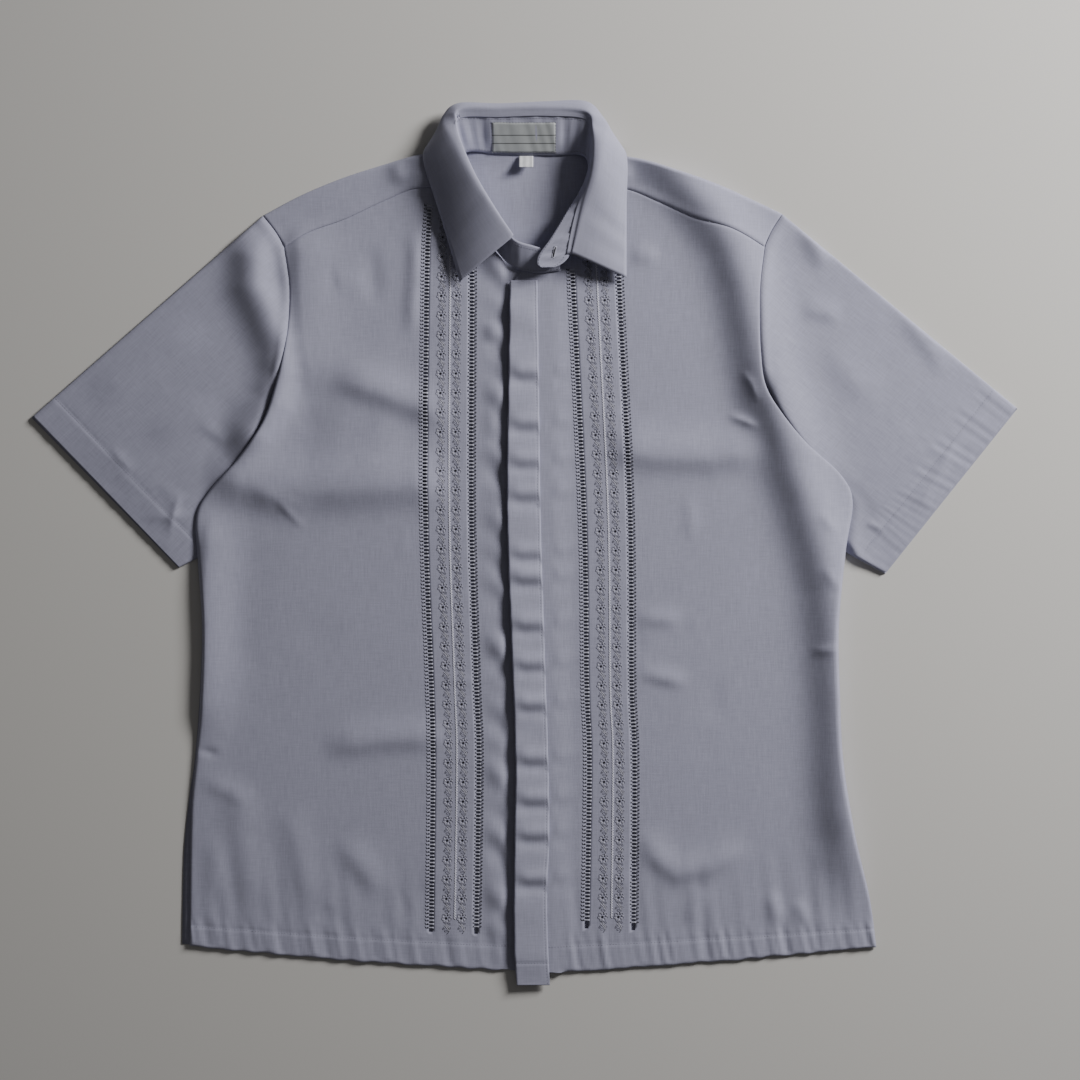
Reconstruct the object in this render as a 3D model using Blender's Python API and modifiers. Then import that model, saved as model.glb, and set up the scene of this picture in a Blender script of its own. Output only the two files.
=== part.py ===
"""Barong tagalog shirt, short sleeved, closed and laid flat on its back.

The shirt lies on the plane z = 0 with its front up. +X is the wearer's left, +Y runs from the hem
to the collar. Sizes are in millimetres until a mesh is made, which turns them into metres.
"""

import math
from collections import namedtuple

import bmesh
import bpy
import numpy as np

MM = 0.001

# Cloth and seams
WALL = 1.2
SEAM = 0.3
HALF = WALL / 2
UNDER_LAYER = HALF
TOP_LAYER = 2.4
SIDE_EDGE = 2.15
LOFT = 1.5
FOLD_ROUND = 1.3

# Grids
PANEL_COLUMNS = 15
ROW_STEPS = 2
SLEEVE_STATIONS = 8
SLEEVE_CROWN = 2.2
SHOULDER_REACH = 14

# Closing, from the bottom layer up
RIGHT_STRIP = 2.2
LEFT_STRIP = 4.1
LEFT_STRIP_END = 25
RIGHT_STRIP_END = -20
STRIP_BLEND = 24
PLACKET_LOW = 5.8
PLACKET_HIGH = 8.8
PLACKET_BETWEEN = 0.35
PLACKET_FLAT = 0.8
PLACKET_FREE_EDGE = 1.6
PLACKET_COLUMNS = 5
PLACKET_ROWS = 46

# Buttons
BUTTON_RADIUS = 5.5
BUTTON_HEIGHT = 2.0
BUTTON_SIDES = 20
BUTTON_X = 1.0
BUTTON_REACH = 17
BUTTON_TOP_Y = 178
BUTTON_PITCH = 90
BUTTON_COUNT = 6
STAND_BUTTON = (25.0, 257.0, 10.2)

# Collar
NECK_RISE = 3.0
NECK_RISE_REACH = 16
LABEL_WALL = 1.0
LABEL_WIDTH = 58
LABEL_HEIGHT = 26
LABEL_CENTRE_X = -0.5
LABEL_START = 0.06
LABEL_COLUMNS = 5
LABEL_CURL = 0.9
TAB_WIDTH = 13
TAB_HEIGHT = 10.5
TAB_CORNER = (-5.0, 343.0)
TAB_RISE = 6.0

Edge = namedtuple("Edge", "side_x side_y open_x open_y bow")
Fold = namedtuple("Fold", "x0 y0 x1 y1 reach height")
Cuff = namedtuple("Cuff", "over_x over_y under_x under_y")
Station = namedtuple("Station", "base_x base_y base_z top_x top_y top_z")
Leaf = namedtuple("Leaf", "top_x top_y top_z roll_x roll_y roll_z edge_x edge_y edge_z")
Strip = namedtuple("Strip", "y free_x sewn_x")

# Rows of each front from the yoke seam to the hem: the armhole or side edge, the neck or opening
# edge, and how far the row bows upwards between them.
RIGHT_FRONT = (
    Edge(-219.6, 271.3, -60, 323, 12),
    Edge(-214.6, 238.4, -47, 298, 7),
    Edge(-214.6, 210.0, -32, 275, 2),
    Edge(-217.3, 181.6, 14, 243, 0),
    Edge(-225.5, 146.9, 17, 196, 0),
    Edge(-238.4, 109.3, 17, 142, 0),
    Edge(-262.0, 76.0, 16, 96, 0),
    Edge(-288.5, 47.0, 16, 54, 0),
    Edge(-299.7, 24.0, 16, 26, 0),
    Edge(-298.6, -13.0, 17, -10, 0),
    Edge(-294.5, -75.0, 19, -72, 0),
    Edge(-296.0, -140.0, 20, -138, 0),
    Edge(-300.6, -198.0, 21, -198, 0),
    Edge(-304.2, -240.0, 22, -246, 0),
    Edge(-305.5, -300.0, 21, -310, 0),
    Edge(-306.0, -367.5, 19, -391, -3),
)
LEFT_FRONT = (
    Edge(219.1, 271.3, 62, 322, 7),
    Edge(214.6, 238.4, 51, 303, 5),
    Edge(213.6, 210.0, 37, 278, 1),
    Edge(214.5, 175.0, -9, 241, 0),
    Edge(219.0, 144.0, -10, 190, 0),
    Edge(234.0, 118.0, -12, 142, 0),
    Edge(257.6, 90.1, -13, 98, 0),
    Edge(288.0, 63.0, -13, 62, 0),
    Edge(299.5, 38.0, -13, 34, 0),
    Edge(293.3, -7.8, -11, -10, 0),
    Edge(287.0, -75.0, -9, -72, 0),
    Edge(288.0, -140.0, -8, -138, 0),
    Edge(291.0, -198.0, -6, -198, 0),
    Edge(301.0, -262.0, -6, -262, 0),
    Edge(315.0, -322.0, -7, -326, 0),
    Edge(321.6, -368.3, -6, -394, -2),
)
ARMHOLE_ROWS = 10
RIGHT_SHOULDER_TIP = (-239.0, 299.5)
LEFT_SHOULDER_TIP = (235.5, 301.0)
RIGHT_CUFF = Cuff(-449.7, 115.7, -315.2, -21.5)
LEFT_CUFF = Cuff(449.7, 124.0, 328.9, -27.0)

# Shoulder folds of the yoke from the tip to the neck, and the back neck edge.
RIGHT_SHOULDER = ((-239.0, 299.5), (-205.4, 317.5), (-168.8, 333.0), (-132.2, 345.0), (-95, 355.5), (-66, 357))
LEFT_SHOULDER = ((235.5, 301.0), (215.5, 310.7), (178.9, 327.1), (142.3, 339.9), (105.7, 351.5), (66, 357))
BACK_NECK = ((-44, 353), (-22, 352), (0, 351.5), (22, 351.5), (44, 352.5))
YOKE_BACK_SEAM_SAMPLE = 3

# Hem and sides of the back below its armholes.
BACK_SIDE = ((-294.5, -75), (-296.5, -140), (-301, -198), (-306, -232), (-311, -285), (-313, -366))
BACK_HEM = ((-160, -376), (20, -385), (160, -380))
BACK_OTHER_SIDE = ((319, -366), (312.5, -322), (298.5, -262), (289, -198), (286.5, -140), (285.5, -75))

# Largest folds: soft ridges, or troughs where the height is negative.
FOLDS = (
    Fold(-199, 280, -200, 215, 13, 3.0),
    Fold(-128, 262, -126, 200, 17, 4.2),
    Fold(-150, 146, -98, 144, 14, 3.0),
    Fold(-262, 52, -100, 56, 17, 3.4),
    Fold(-232, 195, -231, 120, 13, 3.6),
    Fold(-156, -172, -94, -172, 17, 2.4),
    Fold(-285, -232, -225, -262, 16, 2.6),
    Fold(192, 284, 192, 168, 18, 4.0),
    Fold(194, 158, 226, 112, 16, 3.4),
    Fold(102, 86, 204, 84, 17, 3.6),
    Fold(262, 18, 276, -205, 13, 3.6),
    Fold(205, 25, 238, -150, 18, 2.8),
    Fold(118, -284, 204, -282, 18, 2.6),
    Fold(-262, 232, -244, 160, 15, -1.0),
    Fold(330, 214, 372, 158, 17, 3.0),
    Fold(250, 275, 272, 215, 15, 2.6),
    Fold(-352, 96, -312, 64, 15, 2.8),
)

# The stand from the wearer's right end, round the back, to the wearer's left end.
STAND = (
    Station(33, 249, 6.6, 31, 265, 6.8),
    Station(8, 247, 6.6, 9, 270, 9.0),
    Station(-15, 256, 7.4, -11, 277, 17.0),
    Station(-38, 285, 8.2, -26, 301, 23.0),
    Station(-57, 318, 8.6, -45, 333, 26.5),
    Station(-62, 344, 8.2, -59, 366, 23.0),
    Station(-52, 357, 4.6, -61, 389, 10.0),
    Station(-22, 355, 3.2, -22, 391, 6.2),
    Station(22, 354, 3.2, 20, 392, 6.2),
    Station(52, 354, 4.6, 57, 388, 10.0),
    Station(58, 341, 8.2, 62, 364, 22.5),
    Station(50, 320, 9.2, 61, 334, 27.0),
    Station(38, 300, 10.4, 52, 305, 25.0),
    Station(24, 277, 12.4, 45, 279, 19.0),
    Station(13, 260, 13.2, 40, 261, 14.0),
    Station(17, 250, 13.2, 31, 246, 13.4),
)
BACK_STAND_STATION = 7
STAND_SHARES = (0, 0.33, 0.67, 1)

# The leaf from the wearer's right point, round the back, to the wearer's left point.
LEAF = (
    Leaf(-10, 279, 19.6, -13, 275, 20.0, -59, 238.4, 8.2),
    Leaf(-26, 302, 25.6, -30, 300, 26.0, -68, 270, 9.0),
    Leaf(-45, 334, 29.0, -50, 333, 29.4, -80.5, 311, 9.8),
    Leaf(-59, 367, 25.8, -66, 366, 25.6, -91.5, 346, 9.8),
    Leaf(-62, 382, 18.6, -72, 380, 16.5, -90, 361, 7.0),
    Leaf(-63, 391, 13.0, -73, 390, 8.4, -82, 366, 1.6),
    Leaf(-54, 396, 9.6, -60, 400, 5.6, -58, 362, 0.9),
    Leaf(-22, 396, 8.8, -22, 399.5, 5.2, -22, 361, 0.9),
    Leaf(20, 397, 8.8, 21, 401.5, 5.2, 22, 361, 0.9),
    Leaf(50, 395, 9.6, 56, 402, 5.6, 56, 362, 0.9),
    Leaf(61, 389, 13.4, 71, 388, 8.4, 82, 365, 1.6),
    Leaf(64, 379, 19.0, 75, 376, 16.5, 91, 359, 7.0),
    Leaf(64, 364, 25.4, 71, 362, 25.4, 93.8, 344, 9.8),
    Leaf(63, 334, 29.4, 68, 332, 29.6, 93, 312, 9.8),
    Leaf(55, 303, 27.6, 60, 300, 27.6, 92.9, 276, 9.2),
    Leaf(43, 262, 17.4, 48, 261, 17.6, 92.9, 242, 8.4),
)
LEAF_SHARES = (0, 0.33, 0.67, 1)
LEAF_CROWN = 1.6
LEAF_FLAT_ROLL = 9

# Edges of the placket from its top to its tail.
PLACKET = (
    Strip(240, -12.8, 11.5),
    Strip(130, -14.6, 13.2),
    Strip(22, -15.5, 14.6),
    Strip(-90, -11.5, 18.0),
    Strip(-198, -7.8, 21.5),
    Strip(-268, -8.8, 22.4),
    Strip(-317, -9.2, 20.4),
    Strip(-366, -9.0, 21.2),
    Strip(-403, -6.9, 23.2),
)


def clear_scene():
    for obj in list(bpy.data.objects):
        bpy.data.objects.remove(obj, do_unlink=True)


def smoothed(rows, steps=ROW_STEPS):
    """The rows and steps - 1 more between each pair, on a smooth curve through them all."""
    table = np.array(rows, float)
    padded = np.vstack([2 * table[0] - table[1], table, 2 * table[-1] - table[-2]])
    found = []
    for before, start, end, after in zip(padded, padded[1:], padded[2:], padded[3:]):
        for step in range(steps):
            t = step / steps
            bend = 2 * before - 5 * start + 4 * end - after
            twist = 3 * start - before - 3 * end + after
            found.append(start + (end - before) * t / 2 + bend * t**2 / 2 + twist * t**3 / 2)
    found.append(table[-1])
    return np.array(found)


def along(points, share):
    """The point at this share of a polyline's length."""
    points = np.array(points, float)
    lengths = np.linalg.norm(np.diff(points, axis=0), axis=1)
    travelled = np.concatenate([[0], np.cumsum(lengths)]) / lengths.sum()
    return np.array([np.interp(share, travelled, points[:, axis]) for axis in range(points.shape[1])])


def ease(share):
    share = min(max(share, 0.0), 1.0)
    return share * share * (3 - 2 * share)


def distance_to(x, y, x0, y0, x1, y1):
    run = (x1 - x0) ** 2 + (y1 - y0) ** 2
    share = min(max(((x - x0) * (x1 - x0) + (y - y0) * (y1 - y0)) / run, 0), 1) if run else 0
    return math.hypot(x - x0 - share * (x1 - x0), y - y0 - share * (y1 - y0))


def fold_height(x, y):
    """Height that the folds add to the top layer of cloth."""
    return sum(
        fold.height * math.exp(-((distance_to(x, y, *fold[:4]) / fold.reach) ** 2)) for fold in FOLDS
    )


def neck_height(x, y):
    """Height that the fronts and the yoke gain towards the collar stand's base."""
    bases = [(station.base_x, station.base_y) for station in STAND]
    near = min(distance_to(x, y, *a, *b) for a, b in zip(bases, bases[1:]))
    return NECK_RISE * math.exp(-((near / NECK_RISE_REACH) ** 2))


def make_cloth(name, colour, roughness):
    material = bpy.data.materials.new(name)
    material.use_nodes = True
    shader = material.node_tree.nodes["Principled BSDF"]
    shader.inputs["Base Color"].default_value = (*colour, 1)
    shader.inputs["Roughness"].default_value = roughness
    shader.inputs["Metallic"].default_value = 0
    return material


def add_object(name, data, collection, material):
    obj = bpy.data.objects.new(name, data)
    collection.objects.link(obj)
    data.materials.append(material)
    return obj


def grid_mesh(name, columns, closed=False):
    """A surface through columns of (x, y, z) points; a shorter column meets its neighbour's end."""
    mesh = bpy.data.meshes.new(name)
    shape = bmesh.new()
    verts = [[shape.verts.new(np.array(point) * MM) for point in column] for column in columns]
    for left, right in zip(verts, verts[1:]):
        count = min(len(left), len(right))
        left, right = left[-count:], right[-count:]
        for low in range(count if closed else count - 1):
            high = (low + 1) % count
            shape.faces.new((left[low], right[low], right[high], left[high]))
    bmesh.ops.recalc_face_normals(shape, faces=shape.faces)
    shape.to_mesh(mesh)
    shape.free()
    return mesh


def add_wall(name, mesh, collection, material, wall=WALL):
    """An object whose surface gets its cloth thickness, half to each side."""
    obj = add_object(name, mesh, collection, material)
    solidify = obj.modifiers.new("cloth", "SOLIDIFY")
    solidify.thickness = wall * MM
    solidify.offset = 0
    solidify.use_even_offset = True
    return obj


def plan_of_front(rows):
    """Plan points of a front: a list for each row, from the side edge to the opening."""
    shares = np.linspace(0, 1, PANEL_COLUMNS)
    plan = []
    for row in (Edge(*values) for values in smoothed(rows)):
        line = []
        for share in shares:
            x = row.side_x + (row.open_x - row.side_x) * share
            y = row.side_y + (row.open_y - row.side_y) * share
            line.append((x, y + 4 * row.bow * share * (1 - share)))
        plan.append(line)
    return plan


def armhole_of(plan, tip):
    """The armhole from the shoulder tip to the underarm, through the side points of a front."""
    corner = plan[0][0]
    bend = ((tip[0] + corner[0]) / 2 + math.copysign(1.5, -corner[0]), (tip[1] + corner[1]) / 2)
    sides = [line[0] for line in plan]
    return [tip, bend] + sides[: (ARMHOLE_ROWS - 1) * ROW_STEPS + 1]


def add_front(name, plan, collection, material, is_left):
    rows = []
    for index, line in enumerate(plan):
        row = []
        for column, (x, y) in enumerate(line):
            rise = ease(column / 2)
            past_strip = x - LEFT_STRIP_END if is_left else RIGHT_STRIP_END - x
            free = ease(past_strip / STRIP_BLEND)
            strip = LEFT_STRIP if is_left else RIGHT_STRIP
            cloth = SIDE_EDGE + LOFT * rise + fold_height(x, y)
            row.append((x, y, strip + (cloth - strip) * free + neck_height(x, y) * free))
        rows.append(row)
    return add_wall(name, grid_mesh(name, rows), collection, material)


def pushed_out(points, gap, away):
    """A plan line moved sideways by a gap, to the side that points away from the body's middle."""
    points = np.array(points, float)
    tangents = np.gradient(points, axis=0)
    normals = np.stack([tangents[:, 1], -tangents[:, 0]], axis=1)
    normals /= np.linalg.norm(normals, axis=1)[:, None]
    flip = np.sign((normals * np.array(away)).sum(axis=1))[:, None]
    return points + normals * np.where(flip == 0, 1, flip) * gap


def add_sleeve(name, armhole, cuff, collection, material):
    """A flattened tube from the armhole to the cuff: upper layer, underarm fold, lower layer."""
    out = math.copysign(1, cuff.over_x)
    start = pushed_out(armhole, SEAM, (out, -0.35))
    lengths = np.linalg.norm(np.diff(start, axis=0), axis=1)
    shares = np.concatenate([[0], np.cumsum(lengths)]) / lengths.sum()
    over, under = np.array(cuff[:2]), np.array(cuff[2:])
    end = over + (under - over) * shares[:, None]
    rings = []
    for reach in np.linspace(0, 1, SLEEVE_STATIONS):
        line = start + (end - start) * reach
        turn = (line[1] - line[0]) / np.linalg.norm(line[1] - line[0]) * FOLD_ROUND
        back = (line[-2] - line[-1]) / np.linalg.norm(line[-2] - line[-1]) * FOLD_ROUND
        inner = [line[0] + turn, *line[1:-1], line[-1] + back]
        upper = []
        for (x, y), share in zip(inner, shares):
            crown = SLEEVE_CROWN * math.sin(math.pi * share) * ease(reach * 2)
            level = TOP_LAYER + crown + fold_height(x, y) * ease(min(share, 1 - share) * 8)
            upper.append((x, y, level))
        lower = [(x, y, UNDER_LAYER) for x, y in inner[::-1]]
        middle = (TOP_LAYER + UNDER_LAYER) / 2
        rings.append([(*line[0], middle), *upper, (*line[-1], middle), *lower])
    return add_wall(name, grid_mesh(name, rings, closed=True), collection, material)


def shoulder_column(seam, share, armhole, fold_line):
    """Points of the yoke from a front seam point, over the shoulder fold, down to the back seam."""
    tip, bend, corner = (np.array(point) for point in armhole[:3])
    fold = along(fold_line, share)
    seam = np.array(seam)
    seam = seam + (fold - seam) / np.linalg.norm(fold - seam) * SEAM
    middle = (seam + fold) / 2 + (bend - (tip + corner) / 2) * (1 - share)
    rounded = fold + (middle - fold) / np.linalg.norm(middle - fold) * FOLD_ROUND
    upper = []
    for x, y in (seam, middle, rounded):
        folds = fold_height(x, y) + neck_height(x, y)
        upper.append((x, y, TOP_LAYER + folds * ease(abs(y - fold[1]) / SHOULDER_REACH)))
    turn = [(*fold, (TOP_LAYER + UNDER_LAYER) / 2), (*rounded, UNDER_LAYER)]
    neck_x = fold_line[-1][0]
    seam_y = armhole[YOKE_BACK_SEAM_SAMPLE][1]
    lower = []
    for edge_x, edge_y in armhole[1 : YOKE_BACK_SEAM_SAMPLE + 1]:
        depth = (tip[1] - edge_y) / (tip[1] - seam_y)
        y = edge_y if share == 0 else fold[1] + (seam_y - fold[1]) * depth
        lower.append((edge_x + (neck_x - edge_x) * share, y, UNDER_LAYER))
    return upper + turn + lower


def neck_columns(seam_y):
    """Points of the yoke between the shoulders, from the back neck edge down to the back seam."""
    shares = np.linspace(0, 1, YOKE_BACK_SEAM_SAMPLE + 1)
    return [[(x, y + (seam_y - y) * share, UNDER_LAYER) for share in shares] for x, y in BACK_NECK]


def add_yoke(fronts, armholes, collection, material):
    """One sheet from the back seam, over both shoulder folds, to the front yoke seams."""
    sides = []
    for front, armhole, fold_line in zip(fronts, armholes, (RIGHT_SHOULDER, LEFT_SHOULDER)):
        shares = np.linspace(0, 1, PANEL_COLUMNS)
        sides.append([shoulder_column(*pair, armhole, fold_line) for pair in zip(front[0], shares)])
    neck = neck_columns(armholes[0][YOKE_BACK_SEAM_SAMPLE][1])
    columns = sides[0] + neck + sides[1][::-1]
    add_wall("yoke", grid_mesh("yoke", columns), collection, material)


def add_back(armholes, collection, material):
    """A flat outline of the back panel, as thick as its cloth."""
    right = armholes[0][YOKE_BACK_SEAM_SAMPLE:]
    left = armholes[1][YOKE_BACK_SEAM_SAMPLE:]
    outline = right + list(BACK_SIDE + BACK_HEM + BACK_OTHER_SIDE) + left[::-1]
    outline[0] = (outline[0][0], outline[0][1] - SEAM)
    outline[-1] = (outline[-1][0], outline[-1][1] - SEAM)
    curve = bpy.data.curves.new("back", "CURVE")
    curve.dimensions = "2D"
    curve.fill_mode = "BOTH"
    curve.extrude = HALF * MM
    spline = curve.splines.new("POLY")
    spline.points.add(len(outline) - 1)
    for point, (x, y) in zip(spline.points, outline):
        point.co = (x * MM, y * MM, 0, 1)
    spline.use_cyclic_u = True
    obj = add_object("back", curve, collection, material)
    obj.location.z = HALF * MM
    return obj


def button_ys():
    return [BUTTON_TOP_Y - BUTTON_PITCH * index for index in range(BUTTON_COUNT)]


def add_placket(collection, material):
    """The fly strip, raised over each button and lower between them."""
    table = smoothed(PLACKET, 6)
    rows = []
    for y in np.linspace(PLACKET[0].y, PLACKET[-1].y, PLACKET_ROWS):
        free_x = np.interp(-y, -table[:, 0], table[:, 1])
        sewn_x = np.interp(-y, -table[:, 0], table[:, 2])
        over = max(math.exp(-(((y - centre) / BUTTON_REACH) ** 4)) for centre in button_ys())
        raised = (PLACKET_HIGH - PLACKET_LOW) * (PLACKET_BETWEEN + (1 - PLACKET_BETWEEN) * over)
        row = []
        for share in np.linspace(0, 1, PLACKET_COLUMNS):
            held = ease((share - PLACKET_FLAT) / (1 - PLACKET_FLAT))
            level = PLACKET_LOW + raised * (1 - held) + PLACKET_FREE_EDGE * (1 - share)
            row.append((free_x + (sewn_x - free_x) * share, y, level))
        rows.append(row)
    return add_wall("fly_placket", grid_mesh("fly_placket", rows), collection, material)


def add_stand(collection, material):
    columns = []
    for station in (Station(*values) for values in smoothed(STAND)):
        base = np.array(station[:3])
        top = np.array(station[3:])
        columns.append([base + (top - base) * share for share in STAND_SHARES])
    return add_wall("collar_stand", grid_mesh("collar_stand", columns), collection, material)


def add_leaf(collection, material):
    columns = []
    for leaf in (Leaf(*values) for values in smoothed(LEAF)):
        top, roll, edge = np.array(leaf[:3]), np.array(leaf[3:6]), np.array(leaf[6:])
        fall = [roll + (edge - roll) * share for share in LEAF_SHARES]
        crown = LEAF_CROWN * ease((roll[2] - LEAF_FLAT_ROLL) / LEAF_FLAT_ROLL)
        fall[1][2] += crown
        fall[2][2] += crown
        columns.append([top, *fall])
    return add_wall("collar_leaf", grid_mesh("collar_leaf", columns), collection, material)


def back_stand_point(x, rise):
    """A point on the stand's inner face at the back neck, at this share of its height."""
    first, second = STAND[BACK_STAND_STATION], STAND[BACK_STAND_STATION + 1]
    share = (x - first.base_x) / (second.base_x - first.base_x)
    base = np.array(first[:3]) + (np.array(second[:3]) - np.array(first[:3])) * share
    top = np.array(first[3:]) + (np.array(second[3:]) - np.array(first[3:])) * share
    return np.array([x, *(base + (top - base) * rise)[1:]])


def add_labels(collection, label_material, tab_material):
    """The neck label lies on the stand's inner face, and the size tab stands up from its seam."""
    lift = np.array([0, 0, HALF + SEAM + LABEL_WALL])
    stand_height = math.dist(back_stand_point(LABEL_CENTRE_X, 0), back_stand_point(LABEL_CENTRE_X, 1))
    columns = []
    for share in np.linspace(-1, 1, LABEL_COLUMNS):
        x = LABEL_CENTRE_X + share * LABEL_WIDTH / 2
        curl = np.array([0, 0, LABEL_CURL * share**2])
        rises = LABEL_START + np.array([0, 0.5, 1]) * LABEL_HEIGHT / stand_height
        columns.append([back_stand_point(x, rise) + lift + curl for rise in rises])
    label = grid_mesh("brand_label", columns)
    add_wall("brand_label", label, collection, label_material, LABEL_WALL)
    x0, y0 = TAB_CORNER
    level = back_stand_point(0, 0)[2]
    ends = ((0, level + TAB_RISE), (TAB_HEIGHT, level))
    corners = [[(x0 + dx, y0 + dy, z) for dy, z in ends] for dx in (0, TAB_WIDTH)]
    add_wall("size_tab", grid_mesh("size_tab", corners), collection, tab_material, LABEL_WALL)


def add_button(name, x, y, z, collection, material):
    mesh = bpy.data.meshes.new(name)
    shape = bmesh.new()
    bmesh.ops.create_cone(
        shape,
        cap_ends=True,
        segments=BUTTON_SIDES,
        radius1=BUTTON_RADIUS * MM,
        radius2=BUTTON_RADIUS * MM,
        depth=BUTTON_HEIGHT * MM,
    )
    shape.to_mesh(mesh)
    shape.free()
    obj = add_object(name, mesh, collection, material)
    obj.location = (x * MM, y * MM, z * MM)
    return obj


def main():
    clear_scene()
    collection = bpy.data.collections.new("barong_tagalog_shirt")
    bpy.context.scene.collection.children.link(collection)
    cloth = make_cloth("shirt_cloth", (0.43, 0.43, 0.52), 0.9)
    collar_cloth = make_cloth("collar_cloth", (0.42, 0.42, 0.5), 0.88)
    label_cloth = make_cloth("label_cloth", (0.5, 0.52, 0.5), 0.7)
    tab_cloth = make_cloth("tab_cloth", (0.6, 0.6, 0.62), 0.8)
    button_plastic = make_cloth("button_plastic", (0.55, 0.54, 0.6), 0.35)

    plans = [plan_of_front(RIGHT_FRONT), plan_of_front(LEFT_FRONT)]
    armholes = [armhole_of(plans[0], RIGHT_SHOULDER_TIP), armhole_of(plans[1], LEFT_SHOULDER_TIP)]
    add_back(armholes, collection, cloth)
    add_yoke(plans, armholes, collection, cloth)
    add_front("front_right", plans[0], collection, cloth, is_left=False)
    add_front("front_left", plans[1], collection, cloth, is_left=True)
    add_placket(collection, cloth)
    add_sleeve("sleeve_right", armholes[0], RIGHT_CUFF, collection, cloth)
    add_sleeve("sleeve_left", armholes[1], LEFT_CUFF, collection, cloth)
    add_stand(collection, collar_cloth)
    add_leaf(collection, collar_cloth)
    add_labels(collection, label_cloth, tab_cloth)
    button_z = LEFT_STRIP + HALF + SEAM + BUTTON_HEIGHT / 2
    for index, y in enumerate(button_ys(), start=1):
        add_button(f"button_{index}", BUTTON_X, y, button_z, collection, button_plastic)
    add_button("button_stand", *STAND_BUTTON, collection, button_plastic)


main()
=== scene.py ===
"""Looks of a short-sleeved barong tagalog shirt laid flat: cloth, drawn-thread work, embroidery and stitches.

Places and heights are in millimetres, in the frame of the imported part. A mesh turns them into metres.
"""

import math
from collections import namedtuple

import bmesh
import bpy
import numpy as np
from mathutils import Matrix, Vector
from mathutils.bvhtree import BVHTree


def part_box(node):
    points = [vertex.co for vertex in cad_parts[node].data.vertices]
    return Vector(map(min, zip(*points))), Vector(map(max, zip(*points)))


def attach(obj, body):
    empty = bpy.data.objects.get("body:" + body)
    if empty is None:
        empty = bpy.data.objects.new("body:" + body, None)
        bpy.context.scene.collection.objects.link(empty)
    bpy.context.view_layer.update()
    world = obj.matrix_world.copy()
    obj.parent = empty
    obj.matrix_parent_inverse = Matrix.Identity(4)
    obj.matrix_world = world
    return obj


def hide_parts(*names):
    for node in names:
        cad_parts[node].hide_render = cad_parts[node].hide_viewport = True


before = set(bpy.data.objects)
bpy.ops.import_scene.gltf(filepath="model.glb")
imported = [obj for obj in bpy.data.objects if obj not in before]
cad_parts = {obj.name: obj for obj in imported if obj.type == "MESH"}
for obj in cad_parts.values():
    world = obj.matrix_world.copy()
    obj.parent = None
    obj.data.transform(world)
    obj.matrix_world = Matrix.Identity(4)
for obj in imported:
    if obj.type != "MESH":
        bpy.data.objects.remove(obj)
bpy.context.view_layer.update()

bl_info = {
    "name": "Barong Tagalog Shirt",
    "version": (1, 0, 0),
    "blender": (4, 5, 0),
    "location": "View3D > Sidebar > Barong",
    "description": "Builds the cloth, drawn-thread work, embroidery and stitches of a shirt laid flat",
    "category": "Object",
}

MM = 0.001
BODY = "root"
SEED = 11

# Heights of the layers above the surface that the shirt lies on, and how wide a folded edge's turn is
LOW_LAYER = 0.35
TOP_LAYER = 2.5
FOLD_EDGE = 1.3
FOLD_REACH = 3.2
RIGHT_STRIP = 2.1
LEFT_STRIP = 4.1
# Where the strips beside the placket start, and the width over which they rise into the fronts
RIGHT_STRIP_START = -14.0
LEFT_STRIP_END = 25.0
STRIP_BLEND = 22.0

# Spacing of the grids, with the steps in from an edge
CELL = 2.7
FINE_CELL = 1.3
EDGE_STEPS = (0.0, 0.35, 0.9, 1.7, 2.8, 4.2)

# Depths of the hems, how thick their bands are, how far their stitches pull in, and the puckers above
HEM = 20.5
HEM_BAND = 0.3
HEM_PULL = 0.4
HEM_PUCKER = 0.9
HEM_WAVE = 1.1
CUFF_HEM = 27.0
CUFF_BAND = 0.4
CUFF_PULL = 0.45
LOWEST_TOP = 0.95

# How high each kind of thread lies on the cloth
RUNG_LIFT = 0.16
STITCH_LIFT = 0.26
SLANT_LIFT = 0.28
MOTIF_LIFT = 0.36
BUTTONHOLE_LIFT = 0.45
LABEL_LIFT = 0.95
SEAM_LIFT = 0.5

Edge = namedtuple("Edge", "side_x side_y open_x open_y bow rim lift reach")
Fold = namedtuple("Fold", "path height lit shade sharpness fade", defaults=(2, 38.0))
Station = namedtuple("Station", "base_x base_y base_z top_x top_y top_z")
Leaf = namedtuple("Leaf", "top_x top_y top_z roll_x roll_y roll_z edge_x edge_y edge_z")
Strip = namedtuple("Strip", "y free_x sewn_x")
Cuff = namedtuple("Cuff", "over_x over_y under_x under_y")
Ladder = namedtuple("Ladder", "top bottom places outer")

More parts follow.
